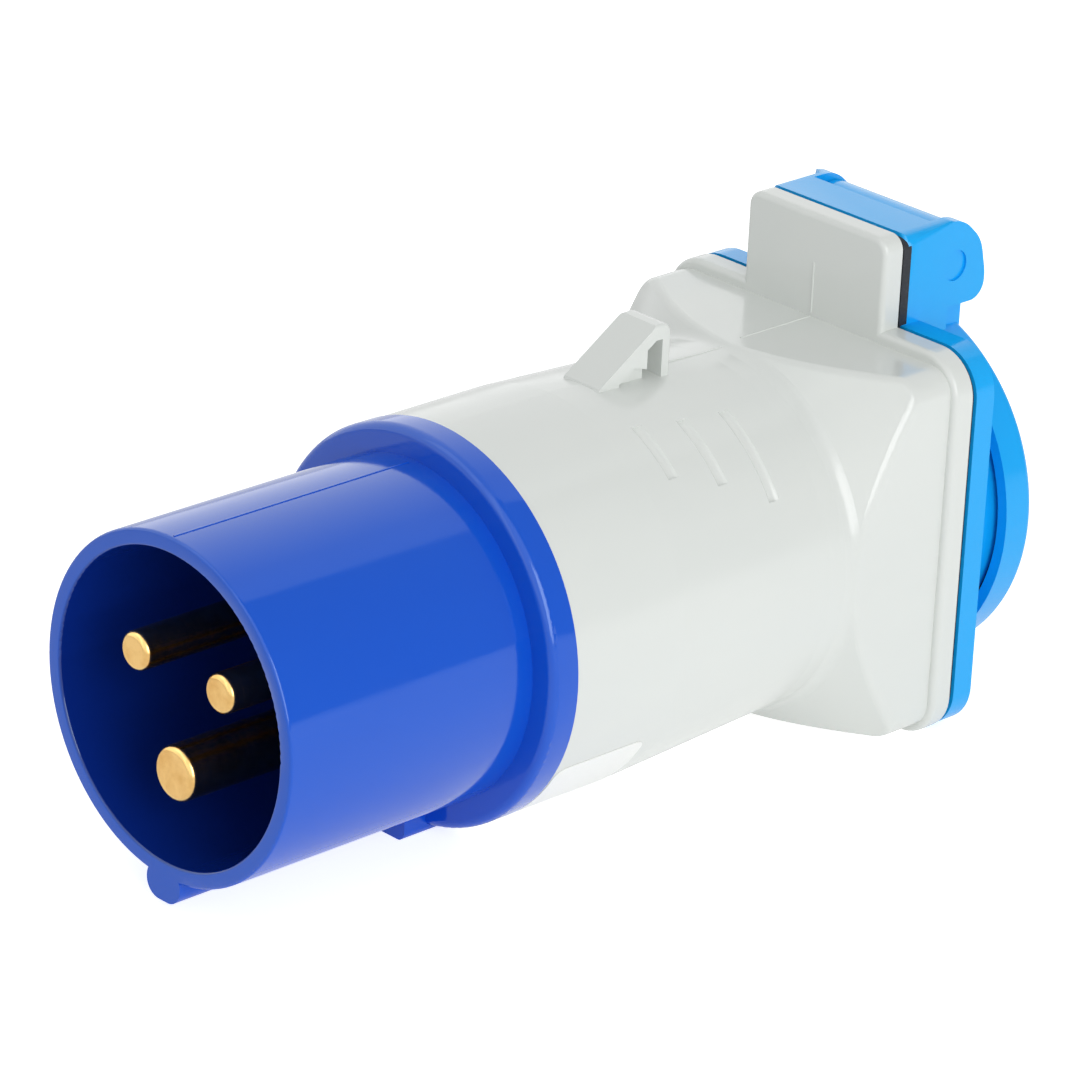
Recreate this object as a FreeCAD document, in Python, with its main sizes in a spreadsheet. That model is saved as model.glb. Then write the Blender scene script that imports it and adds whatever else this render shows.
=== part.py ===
"""Plug adapter: a three-pin industrial plug front on a moulded housing that ends in a lidded flange socket.

The plug axis runs along Y: the mouth of the shroud is the low end, the lid the high end. Every size sits in the
sheet "Sizes" in millimetres or degrees. Places along Y count from the mouth, heights along Z from the plug axis.
The origin of the finished part lies below its middle, on the level of the lug that it rests on.
"""
import FreeCAD
import Part
import Sketcher
import math
import os

DOC = FreeCAD.newDocument("PlugAdapter")
SHEET = DOC.addObject("Spreadsheet::Sheet", "Sizes")

SIZES = [
    ("shroud_radius", 21.9, "outside radius of the shroud"),
    ("shroud_wall", 2.15, "wall of the shroud"),
    ("shroud_lip", 0.4, "rounding of the shroud's front edges"),
    ("floor_front", 37.5, "front face of the floor that the pins pass through"),
    ("collar_front", 38.0, "front face of the plug collar"),
    ("collar_back", 42.1, "seat between the collar and the housing"),
    ("collar_radius", 25.45, "outside radius of the plug collar"),
    ("collar_round", 0.5, "rounding of the collar's front edge"),
    ("rib_width", 6.0, "width of the key rib under the shroud"),
    ("rib_drop", 24.9, "lowest level of the key rib"),
    ("rib_round", 2.2, "rounding along the key rib"),
    ("lug_width", 9.0, "width of the lug under the collar"),
    ("lug_drop", 26.1, "lowest level of the lug"),
    ("lug_front", 34.5, "front face of the lug"),
    ("lug_round", 1.2, "rounding along the lug"),
    ("spigot_radius", 22.5, "outside radius of the spigot"),
    ("spigot_wall", 1.9, "wall of the spigot"),
    ("spigot_length", 9.9, "length of the spigot behind the collar"),
    ("spigot_gap", 0.3, "gap round the spigot in the housing"),
    ("seal_place", 45.9, "front face of the seal ring on the spigot"),
    ("seal_width", 2.0, "width of the seal ring on the spigot"),
    ("seal_depth", 0.9, "depth of the seal's groove"),
    ("boss_offset", 17.0, "distance of the screw bosses from the axis"),
    ("boss_radius", 2.6, "radius of the screw bosses"),
    ("bulkhead_front", 53.0, "front face of the bulkhead"),
    ("bulkhead_thick", 2.5, "thickness of the bulkhead"),
    ("bulkhead_opening", 14.2, "radius of the opening in the bulkhead"),
    ("pin_circle", 8.75, "radius of the circle that the pins stand on"),
    ("phase_angle", 30.0, "rise of the phase pins above the horizontal, degrees"),
    ("phase_radius", 2.5, "radius of the phase pins"),
    ("earth_radius", 3.5, "radius of the earth pin"),
    ("pin_tip", 1.1, "place of the pins' tips"),
    ("pin_round", 0.8, "rounding of the pins' tips"),
    ("pin_gap", 0.1, "gap round the pins in the floor and the carrier"),
    ("pin_neck", 0.4, "extra radius of the pins inside the floor"),
    ("lip_reach", 1.1, "reach of a pin's lip beyond the pin"),
    ("lip_thick", 2.0, "thickness of a pin's lip"),
    ("shank_radius", 2.9, "radius of the pins' shanks"),
    ("shank_end", 60.0, "rear end of the pins"),
    ("core_radius", 1.3, "radius of the wire holes"),
    ("pin_core_depth", 8.0, "depth of the wire hole in a pin"),
    ("clamp_place", 57.4, "place of the pins' terminal screws"),
    ("clamp_radius", 1.25, "shaft radius of the terminal screws"),
    ("clamp_head", 1.9, "head radius of the terminal screws"),
    ("clamp_head_thick", 1.1, "head thickness of the terminal screws"),
    ("carrier_radius", 14.1, "radius of the pin carrier"),
    ("carrier_thick", 8.0, "thickness of the pin carrier"),
    ("small_shaft", 1.5, "shaft radius of the fixing screws"),
    ("small_head", 2.7, "head radius of the fixing screws"),
    ("small_head_thick", 1.9, "head thickness of the fixing screws"),
    ("small_reach", 8.5, "length of the fixing screws in the bosses"),
    ("small_gap", 0.25, "gap round the fixing screws in the pieces they hold"),
    ("floor_skin", 1.1, "skin left in front of a screw hole in the floor"),
    ("tube_radius", 25.3, "radius of the housing's tube at the collar"),
    ("tube_straight", 60.0, "place where the tube starts to narrow"),
    ("waist_radius", 24.05, "radius of the tube at its waist"),
    ("waist_place", 86.5, "place where the waist starts"),
    ("cone_place", 90.45, "place where the box's cone leaves the waist"),
    ("cone_rim", 35.0, "radius that the cone reaches"),
    ("valley_round", 3.0, "rounding between the waist and the cone"),
    ("cavity_radius", 21.8, "radius of the housing's round cavity"),
    ("box_half", 24.5, "half the width of the square box"),
    ("box_round", 3.5, "rounding of the box's long edges"),
    ("box_edge", 1.5, "rounding where the cone cuts the box's sides"),
    ("box_wall", 2.5, "wall of the square box"),
    ("box_floor", 99.5, "front end of the square cavity"),
    ("plate_front", 105.8, "front face of the plate"),
    ("plate_thick", 3.04, "thickness of the plate"),
    ("plate_width", 2.0, "how much wider than the box the plate, the gasket and the flange are"),
    ("plate_height", 3.0, "how much higher than the box the plate, the gasket and the flange are"),
    ("plate_round", 5.7, "rounding of the plate's corners"),
    ("plate_edge", 0.8, "rounding of the plate's front edge"),
    ("tab_width", 24.2, "width of the tab and of the hinge block"),
    ("tab_top", 38.1, "level of the top of the tab and the hinge block"),
    ("tab_round", 2.0, "rounding of the tab's corners"),
    ("tab_edge", 0.8, "rounding of the tab's front edges"),
    ("fixing_half", 19.0, "half the pitch of the flange screws"),
    ("pillar_radius", 3.2, "radius of the corner pillars"),
    ("pilot_depth", 8.3, "depth of the pilot holes in the pillars"),
    ("strap_width", 6.2, "width of the strap on the tube"),
    ("strap_start", 65.6, "place where the strap's ramp leaves the tube"),
    ("strap_peak", 75.0, "place where the ramp ends"),
    ("strap_top", 6.0, "height of the top of the strap above the tube"),
    ("strap_end", 77.6, "rear face of the strap's leg"),
    ("strap_leg", 1.5, "thickness of the strap"),
    ("strap_hollow", 73.6, "front end of the opening under the strap"),
    ("strap_web", 4.6, "width of the web under the strap's ramp"),
    ("strap_crown", 1.4, "rounding of the strap's rear corner"),
    ("strap_edge", 0.4, "rounding along the strap's sides"),
    ("grip_first", 65.0, "place of the first grip groove"),
    ("grip_step", 7.05, "pitch of the grip grooves"),
    ("grip_radius", 1.2, "section radius of the grip grooves"),
    ("grip_lift", 0.8, "height of a groove's section centre above the tube"),
    ("gasket_thick", 0.76, "thickness of the gasket"),
    ("gasket_gap", 0.4, "gap round the cup in the gasket and the plate"),
    ("flange_thick", 3.25, "thickness of the socket flange"),
    ("flange_round", 6.0, "rounding of the flange's corners"),
    ("cup_radius", 21.3, "outside radius of the cup behind the flange"),
    ("recess_radius", 19.7, "radius of the recess"),
    ("recess_floor", 101.5, "place of the recess floor"),
    ("recess_skin", 2.5, "thickness of the recess floor"),
    ("rim_radius", 22.4, "outside radius of the socket collar"),
    ("rim_place", 119.0, "place of the socket collar's rim"),
    ("guide_width", 5.2, "width of the guide ribs in the recess"),
    ("guide_proud", 2.0, "height of the guide ribs"),
    ("guide_end", 117.0, "end of the guide ribs"),
    ("contact_offset", 9.5, "distance of the contact holes from the axis"),
    ("contact_hole", 2.6, "radius of the holes in the recess floor"),
    ("contact_bore", 2.4, "bore radius of the contact sleeves"),
    ("contact_wall", 1.0, "wall of the contact sleeves"),
    ("contact_depth", 19.2, "depth of the contact sleeves from the recess floor"),
    ("sleeve_gap", 0.2, "gap round the contact sleeves"),
    ("sleeve_back", 83.0, "rear face of the insert, where the terminal blocks start"),
    ("block_half", 3.4, "half the width of a terminal block"),
    ("block_length", 6.5, "length of a terminal block"),
    ("block_core", 4.8, "depth of the wire hole in a terminal block"),
    ("block_screw", 2.4, "distance of the terminal screw from the block's rear"),
    ("base_radius", 19.2, "radius of the insert behind the recess floor"),
    ("strip_width", 6.0, "width of the earth strip"),
    ("strip_thick", 1.0, "thickness of the earth strip"),
    ("strip_gap", 0.2, "gap round the earth strip"),
    ("clip_reach", 18.9, "outer level of the earth clips"),
    ("clip_bow", 1.5, "inward bow of the earth clips"),
    ("clip_end", 114.5, "end of the earth clips"),
    ("clip_peak", 110.5, "place of the clips' contact point"),
    ("earth_drop", 10.0, "level of the earth terminal below the axis"),
    ("centre_shaft", 1.9, "shaft radius of the centre screw"),
    ("centre_head", 3.6, "head radius of the centre screw"),
    ("centre_head_thick", 2.2, "head thickness of the centre screw"),
    ("centre_reach", 9.0, "length of the centre screw in the insert"),
    ("hinge_place", 118.9, "place of the hinge axis"),
    ("hinge_level", 32.0, "level of the hinge axis"),
    ("hinge_block", 6.1, "depth of the hinge block behind the gasket"),
    ("hinge_foot", 20.5, "level where the hinge block joins the flange"),
    ("cheek_thick", 2.0, "thickness of a hinge cheek"),
    ("cheek_foot", 23.6, "lowest level of the cheeks"),
    ("cheek_back", 118.0, "rear face of the cheeks' feet"),
    ("cheek_nose", 5.7, "reach of the cheeks behind the hinge axis"),
    ("cheek_round", 5.5, "rounding of the cheeks' shoulders"),
    ("cheek_chin", 2.4, "rounding of the cheeks' lower corner"),
    ("dimple_radius", 2.05, "radius of the dimple on the right cheek"),
    ("dimple_depth", 0.3, "depth of the dimple"),
    ("hinge_pin_radius", 1.2, "radius of the hinge pin"),
    ("hinge_pin_play", 0.05, "radial play of the lid on the hinge pin"),
    ("hinge_pin_stop", 0.9, "wall left at the end of the hinge pin"),
    ("barrel_radius", 5.0, "radius of the lid's barrel"),
    ("barrel_gap", 0.2, "gap between the barrel and each cheek"),
    ("barrel_clear", 0.4, "gap round the barrel in the hinge block"),
    ("lid_radius", 24.7, "radius of the lid"),
    ("lid_front", 118.1, "front edge of the lid's rim"),
    ("lid_back", 123.0, "outer face of the lid"),
    ("lid_rise", 0.3, "height of the lid's centre above the axis"),
    ("lid_wall", 1.5, "wall of the lid's rim"),
    ("lid_skin", 2.4, "thickness of the lid's disc"),
    ("lid_edge", 1.0, "rounding of the lid's outer edge"),
    ("arm_thick", 3.4, "thickness of the lid's arm"),
    ("arm_start", 14.0, "level where the arm starts on the disc"),
    ("lid_seal_gap", 0.15, "gap between the lid seal and the socket collar"),
    ("lid_seal_inner", 19.9, "inner radius of the lid seal"),
    ("coil_radius", 2.4, "mean radius of the torsion spring"),
    ("coil_wire", 0.4, "wire radius of the torsion spring"),
    ("coil_pitch", 1.3, "pitch of the torsion spring"),
    ("coil_turns", 5.0, "turns of the torsion spring"),
    ("coil_start", 0.4, "gap between the spring and the left cheek"),
    ("coil_room", 0.5, "gap round the spring in the barrel"),
    ("wire_radius", 1.2, "radius of the inner wires"),
    ("wire_reach", 4.5, "length of a wire inside its terminal"),
    ("wire_lead", 3.0, "straight lead of a wire outside its terminal"),
]


class Size:
    """A length or an angle with its number and the formula that ties it to the sheet."""

    def __init__(self, number, formula):
        self.number = number
        self.formula = formula

    def __add__(self, other):
        other = as_size(other)
        return Size(self.number + other.number, "(%s + %s)" % (self.formula, other.formula))

    def __sub__(self, other):
        other = as_size(other)
        return Size(self.number - other.number, "(%s - %s)" % (self.formula, other.formula))

    def __mul__(self, other):
        other = as_size(other)
        return Size(self.number * other.number, "(%s * %s)" % (self.formula, other.formula))

    def __truediv__(self, other):
        other = as_size(other)
        return Size(self.number / other.number, "(%s / %s)" % (self.formula, other.formula))

    def __neg__(self):
        return Size(-self.number, "(0 - %s)" % self.formula)


def as_size(value):
    """A plain number becomes a fixed size."""
    if isinstance(value, Size):
        return value
    return Size(float(value), "%.6f" % value)


def cosine(angle):
    return Size(math.cos(math.radians(angle.number)), "cos(%s * 1 deg)" % angle.formula)


def sine(angle):
    return Size(math.sin(math.radians(angle.number)), "sin(%s * 1 deg)" % angle.formula)


def fill_sheet():
    """Write the sizes into the sheet and read them back by name."""
    for row, (alias, value, note) in enumerate(SIZES, start=1):
        SHEET.set("A%d" % row, alias)
        SHEET.set("B%d" % row, "%g" % value)
        SHEET.set("C%d" % row, note)
        SHEET.setAlias("B%d" % row, alias)
    DOC.recompute()
    return {alias: Size(float(SHEET.get(alias)), "Sizes.%s" % alias) for alias, _, _ in SIZES}


S = fill_sheet()
ZERO = as_size(0.0)

KNUCKLE_BACK = S["hinge_place"] + S["cheek_nose"]
ORIGIN_PLACE = KNUCKLE_BACK / 2.0
ORIGIN_DROP = S["lug_drop"]
PLATE_BACK = S["plate_front"] + S["plate_thick"]
FLANGE_FRONT = PLATE_BACK + S["gasket_thick"]
FLANGE_BACK = FLANGE_FRONT + S["flange_thick"]
CUP_BACK = S["recess_floor"] - S["recess_skin"]
INNER_SHROUD = S["shroud_radius"] - S["shroud_wall"]
PLATE_HALF_WIDTH = S["box_half"] + S["plate_width"] / 2.0
PLATE_HALF_HEIGHT = S["box_half"] + S["plate_height"] / 2.0
STRAP_LEVEL = S["tube_radius"] + S["strap_top"]
HALF_TAB = S["tab_width"] / 2.0
CHEEK_INSIDE = HALF_TAB - S["cheek_thick"]
BARREL_HALF = CHEEK_INSIDE - S["barrel_gap"]
LID_INNER = S["lid_radius"] - S["lid_wall"]
SEAL_FRONT = S["rim_place"] + S["lid_seal_gap"]
SEAL_BACK = S["lid_back"] - S["lid_skin"]


def tie(thing, slot, size):
    """Bind one property to its formula."""
    thing.setExpression(slot, as_size(size).formula)


def seat(thing, across=ZERO, along=ZERO, up=ZERO):
    """Place a finished sub-part: its own offset, counted from the part's origin."""
    tie(thing, "Placement.Base.x", across)
    tie(thing, "Placement.Base.y", along - ORIGIN_PLACE)
    tie(thing, "Placement.Base.z", up + ORIGIN_DROP)


def new_body(name):
    body = DOC.addObject("PartDesign::Body", name)
    body.Label = name
    return body


def sketch_on(body, name, role, lift=ZERO):
    """A sketch on one of the body's own planes, lifted along that plane's normal."""
    plane = [feature for feature in body.Origin.OriginFeatures if feature.Role == role][0]
    sketch = body.newObject("Sketcher::SketchObject", name)
    sketch.AttachmentSupport = [(plane, "")]
    sketch.MapMode = "FlatFace"
    tie(sketch, "AttachmentOffset.Base.z", lift)
    return sketch


def across_axis(body, name, place):
    """A sketch square to the plug axis; its own axes are X and Z."""
    return sketch_on(body, name, "XZ_Plane", -as_size(place))


def along_axis(body, name, offset=ZERO):
    """A sketch in the plane of the plug axis; its own axes are Y and Z."""
    return sketch_on(body, name, "YZ_Plane", offset)


def fix_coordinate(sketch, kind, geometry, point, size):
    """Hold one coordinate of a point at a signed distance from the sketch's origin."""
    size = as_size(size)
    if abs(size.number) < 1e-9:
        line = -2 if kind == "DistanceX" else -1
        sketch.addConstraint(Sketcher.Constraint("PointOnObject", geometry, point, line))
        return
    if size.number > 0:
        rule = Sketcher.Constraint(kind, -1, 1, geometry, point, size.number)
        text = size.formula
    else:
        rule = Sketcher.Constraint(kind, geometry, point, -1, 1, -size.number)
        text = (-size).formula
    index = sketch.addConstraint(rule)
    sketch.setExpression("Constraints[%d]" % index, text)


def fix_point(sketch, geometry, point, u, v):
    fix_coordinate(sketch, "DistanceX", geometry, point, u)
    fix_coordinate(sketch, "DistanceY", geometry, point, v)


def polygon(sketch, corners):
    """A closed outline of straight edges through corners given as pairs of sizes."""
    corners = [(as_size(u), as_size(v)) for u, v in corners]
    first = sketch.GeometryCount
    count = len(corners)
    points = [FreeCAD.Vector(u.number, v.number, 0) for u, v in corners]
    for index in range(count):
        sketch.addGeometry(Part.LineSegment(points[index], points[(index + 1) % count]), False)
    for index in range(count):
        rule = Sketcher.Constraint("Coincident", first + index, 2, first + (index + 1) % count, 1)
        sketch.addConstraint(rule)
    for index, (u, v) in enumerate(corners):
        fix_point(sketch, first + index, 1, u, v)


def circle(sketch, u, v, radius):
    u, v, radius = as_size(u), as_size(v), as_size(radius)
    centre = FreeCAD.Vector(u.number, v.number, 0)
    geometry = sketch.addGeometry(Part.Circle(centre, FreeCAD.Vector(0, 0, 1), radius.number), False)
    fix_point(sketch, geometry, 3, u, v)
    index = sketch.addConstraint(Sketcher.Constraint("Radius", geometry, radius.number))
    sketch.setExpression("Constraints[%d]" % index, radius.formula)


def box_outline(sketch, left, right, bottom, top):
    polygon(sketch, [(left, bottom), (right, bottom), (right, top), (left, top)])


def rounded_box(sketch, half_width, half_height, corner, level=ZERO):
    """A rectangle with four equal round corners; the level is the height of its middle."""
    w, r = half_width.number, corner.number
    low, high = level.number - half_height.number, level.number + half_height.number
    up = FreeCAD.Vector(0, 0, 1)
    first = sketch.GeometryCount
    centres = [(w - r, low + r), (w - r, high - r), (-w + r, high - r), (-w + r, low + r)]
    lines = [((-w + r, low), (w - r, low)), ((w, low + r), (w, high - r)),
             ((w - r, high), (-w + r, high)), ((-w, high - r), (-w, low + r))]
    for side in range(4):
        (a, b), (c, d) = lines[side]
        sketch.addGeometry(Part.LineSegment(FreeCAD.Vector(a, b, 0), FreeCAD.Vector(c, d, 0)), False)
        middle = FreeCAD.Vector(centres[side][0], centres[side][1], 0)
        start = math.radians(-90 + 90 * side)
        arc = Part.ArcOfCircle(Part.Circle(middle, up, r), start, start + math.pi / 2)
        sketch.addGeometry(arc, False)
    for side in range(4):
        line = first + 2 * side
        arc = line + 1
        after = first + (2 * side + 2) % 8
        sketch.addConstraint(Sketcher.Constraint("Tangent", line, 2, arc, 1))
        sketch.addConstraint(Sketcher.Constraint("Tangent", arc, 2, after, 1))
        sketch.addConstraint(Sketcher.Constraint("Horizontal" if side % 2 == 0 else "Vertical", line))
    for side in range(1, 4):
        sketch.addConstraint(Sketcher.Constraint("Equal", first + 1, first + 2 * side + 1))
    index = sketch.addConstraint(Sketcher.Constraint("Radius", first + 1, r))
    sketch.setExpression("Constraints[%d]" % index, corner.formula)
    fix_coordinate(sketch, "DistanceY", first, 1, level - half_height)
    fix_coordinate(sketch, "DistanceX", first + 2, 1, half_width)
    fix_coordinate(sketch, "DistanceY", first + 4, 1, level + half_height)
    fix_coordinate(sketch, "DistanceX", first + 6, 1, -half_width)


def pad(body, name, sketch, length, towards_lid=True, middle=False):
    """Add material from a sketch; sketches across the axis grow towards the lid."""
    feature = body.newObject("PartDesign::Pad", name)
    feature.Profile = sketch
    tie(feature, "Length", length)
    if middle:
        feature.SideType = "Symmetric"
    else:
        feature.Reversed = towards_lid
    return feature


def pocket(body, name, sketch, length, towards_lid=True, middle=False):
    """Cut material from a sketch; sketches across the axis cut towards the lid."""
    feature = body.newObject("PartDesign::Pocket", name)
    feature.Profile = sketch
    tie(feature, "Length", length)
    if middle:
        feature.SideType = "Symmetric"
    else:
        feature.Reversed = not towards_lid
    return feature


def turned(body, name, sketch):
    """A full revolution about the plug axis, the sketch's own horizontal axis."""
    feature = body.newObject("PartDesign::Revolution", name)
    feature.Profile = sketch
    feature.ReferenceAxis = (sketch, ["H_Axis"])
    feature.Angle = 360.0
    return feature


def rounded(body, name, base, radius, wanted):
    """Round the edges of the last feature that answer to a test."""
    DOC.recompute()
    names = ["Edge%d" % (i + 1) for i, edge in enumerate(base.Shape.Edges) if wanted(edge)]
    if not names:
        raise ValueError("no edge found for %s" % name)
    feature = body.newObject("PartDesign::Fillet", name)
    feature.Base = (base, names)
    tie(feature, "Radius", radius)
    return feature


def near(a, b, room=0.02):
    return abs(a - as_size(b).number) < room


def ring_edge(edge, radius, place, centre_up=0.0):
    """True for a circle about the plug axis, or one raised above it."""
    curve = edge.Curve
    return (isinstance(curve, Part.Circle) and near(curve.Radius, radius) and near(curve.Center.y, place)
            and near(curve.Center.x, 0.0) and near(curve.Center.z, centre_up))


def straight_along(edge, axis):
    """True for a straight edge along one of the main axes."""
    if not isinstance(edge.Curve, Part.Line):
        return False
    step = edge.Vertexes[-1].Point - edge.Vertexes[0].Point
    return step.Length > 1e-6 and abs(abs(step[axis]) - step.Length) < 1e-6


def middle_of(edge):
    return edge.CenterOfMass


def make_plug_front():
    """The blue moulding: shroud, key rib, collar, lug, floor, spigot and two screw bosses."""
    body = new_body("plug_front")
    spigot_end = S["collar_back"] + S["spigot_length"]
    inner_spigot = S["spigot_radius"] - S["spigot_wall"]
    groove_bottom = S["spigot_radius"] - S["seal_depth"]
    seal_end = S["seal_place"] + S["seal_width"]
    profile = along_axis(body, "PlugProfile")
    polygon(profile, [
        (ZERO, INNER_SHROUD), (ZERO, S["shroud_radius"]), (S["collar_front"], S["shroud_radius"]),
        (S["collar_front"], S["collar_radius"]), (S["collar_back"], S["collar_radius"]),
        (S["collar_back"], S["spigot_radius"]), (S["seal_place"], S["spigot_radius"]),
        (S["seal_place"], groove_bottom), (seal_end, groove_bottom), (seal_end, S["spigot_radius"]),
        (spigot_end, S["spigot_radius"]), (spigot_end, inner_spigot), (S["collar_back"], inner_spigot),
        (S["collar_back"], ZERO), (S["floor_front"], ZERO), (S["floor_front"], INNER_SHROUD)])
    shell = turned(body, "PlugShell", profile)
    lips = rounded(body, "ShroudLip", shell, S["shroud_lip"], lambda e: ring_edge(e, INNER_SHROUD, 0.0)
                   or ring_edge(e, S["shroud_radius"], 0.0))
    rounded(body, "CollarEdge", lips, S["collar_round"],
            lambda e: ring_edge(e, S["collar_radius"], S["collar_front"]))
    rib = across_axis(body, "RibOutline", ZERO)
    root = S["shroud_radius"] - S["shroud_wall"] * 0.75
    rounded_box(rib, S["rib_width"] / 2.0, (S["rib_drop"] - root) / 2.0, S["rib_round"],
                -(S["rib_drop"] + root) / 2.0)
    pad(body, "KeyRib", rib, S["collar_front"])
    lug = across_axis(body, "LugOutline", S["lug_front"])
    rounded_box(lug, S["lug_width"] / 2.0, (S["lug_drop"] - root) / 2.0, S["lug_round"],
                -(S["lug_drop"] + root) / 2.0)
    pad(body, "Lug", lug, S["collar_back"] - S["lug_front"])
    bosses = across_axis(body, "BossOutline", S["collar_back"])
    for side in (1.0, -1.0):
        circle(bosses, S["boss_offset"] * side, ZERO, S["boss_radius"])
    boss_pad = pad(body, "ScrewBosses", bosses, S["bulkhead_front"] - S["collar_back"])
    pilots = across_axis(body, "PilotOutline", S["bulkhead_front"])
    for side in (1.0, -1.0):
        circle(pilots, S["boss_offset"] * side, ZERO, S["small_shaft"])
    pocket(body, "BossPilots", pilots, S["small_reach"], towards_lid=False)
    holes = across_axis(body, "PinHoleOutline", S["floor_front"])
    for across, up, radius in pin_places():
        circle(holes, across, up, radius + S["pin_neck"] + S["pin_gap"])
    pocket(body, "PinHoles", holes, S["collar_back"] - S["floor_front"])
    screw = across_axis(body, "CarrierPilotOutline", S["collar_back"])
    circle(screw, ZERO, ZERO, S["small_shaft"])
    pocket(body, "CarrierPilot", screw, S["collar_back"] - S["floor_front"] - S["floor_skin"],
           towards_lid=False)
    seat(body)
    return body


def pin_places():
    """Places of the live, neutral and earth pins across the axis, and their radii."""
    across = S["pin_circle"] * cosine(S["phase_angle"])
    up = S["pin_circle"] * sine(S["phase_angle"])
    return [(across, up, S["phase_radius"]), (-across, up, S["phase_radius"]),
            (ZERO, -S["pin_circle"], S["earth_radius"])]


def pin_turns():
    """Turns about the plug axis that point each pin's terminal screw outwards, degrees."""
    lean = as_size(90.0) - S["phase_angle"]
    return [lean, -lean, as_size(180.0)]


def make_pin(name, place, turn):
    """A turned brass pin about its own axis: rounded tip, lip, shank, wire hole and screw hole."""
    across, up, radius = place
    body = new_body(name)
    lip = radius + S["lip_reach"]
    lip_end = S["collar_back"] + S["lip_thick"]
    profile = along_axis(body, name + "_profile")
    core_start = S["shank_end"] - S["pin_core_depth"]
    polygon(profile, [
        (S["pin_tip"], ZERO), (S["pin_tip"], radius), (S["floor_front"], radius),
        (S["floor_front"], radius + S["pin_neck"]), (S["collar_back"], radius + S["pin_neck"]), (S["collar_back"], lip),
        (lip_end, lip), (lip_end, S["shank_radius"]), (S["shank_end"], S["shank_radius"]),
        (S["shank_end"], S["core_radius"]), (core_start, S["core_radius"]), (core_start, ZERO)])
    blank = turned(body, name + "_blank", profile)
    rounded(body, name + "_tip", blank, S["pin_round"], lambda e: ring_edge(e, radius, S["pin_tip"]))
    hole = sketch_on(body, name + "_clamp_outline", "XY_Plane")
    circle(hole, ZERO, S["clamp_place"], S["clamp_radius"])
    pocket(body, name + "_clamp_hole", hole, S["shank_radius"] * 2.0, towards_lid=False)
    body.Placement = FreeCAD.Placement(FreeCAD.Vector(), FreeCAD.Rotation(FreeCAD.Vector(0, 1, 0), 1.0))
    tie(body, "Placement.Rotation.Angle", turn)
    seat(body, across, ZERO, up)
    return body


def make_pin_carrier():
    """The disc that traps the pins' lips against the floor."""
    body = new_body("pin_carrier")
    outline = across_axis(body, "CarrierOutline", S["collar_back"])
    circle(outline, ZERO, ZERO, S["carrier_radius"])
    pad(body, "CarrierDisc", outline, S["carrier_thick"])
    lips = across_axis(body, "CarrierLipOutline", S["collar_back"])
    shanks = across_axis(body, "CarrierShankOutline", S["collar_back"])
    for across, up, radius in pin_places():
        circle(lips, across, up, radius + S["lip_reach"] + S["pin_gap"])
        circle(shanks, across, up, S["shank_radius"] + S["pin_gap"])
    circle(shanks, ZERO, ZERO, S["small_shaft"] + S["small_gap"])
    pocket(body, "CarrierLipSeats", lips, S["lip_thick"])
    pocket(body, "CarrierShankHoles", shanks, S["carrier_thick"])
    seat(body)
    return body


def cylinder(name, radius, height):
    solid = DOC.addObject("Part::Cylinder", name)
    tie(solid, "Radius", radius)
    tie(solid, "Height", height)
    return solid


def screw(name, head, head_thick, shaft, reach, point, axis, turn=None):
    """A pan head screw. The point is the seat under the head; the axis runs from the seat to the head."""
    cap = cylinder(name + "_head", head, head_thick)
    stem = cylinder(name + "_shaft", shaft, reach)
    tie(stem, "Placement.Base.z", -as_size(reach))
    whole = DOC.addObject("Part::Fuse", name)
    whole.Base = cap
    whole.Tool = stem
    start = FreeCAD.Rotation(FreeCAD.Vector(0, 0, 1), axis)
    whole.Placement = FreeCAD.Placement(FreeCAD.Vector(), start)
    if turn is not None:
        whole.Placement = FreeCAD.Placement(FreeCAD.Vector(), FreeCAD.Rotation(FreeCAD.Vector(0, 1, 0), 1.0))
        tie(whole, "Placement.Rotation.Angle", turn)
    for letter, size in zip("xyz", point):
        tie(whole, "Placement.Base.%s" % letter, size)
    return whole


def group(name, members):
    """Several equal solids that make one sub-part."""
    compound = DOC.addObject("Part::Compound", name)
    compound.Label = name
    compound.Links = members
    seat(compound)
    return compound


TOWARDS_LID = FreeCAD.Vector(0, 1, 0)


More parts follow.
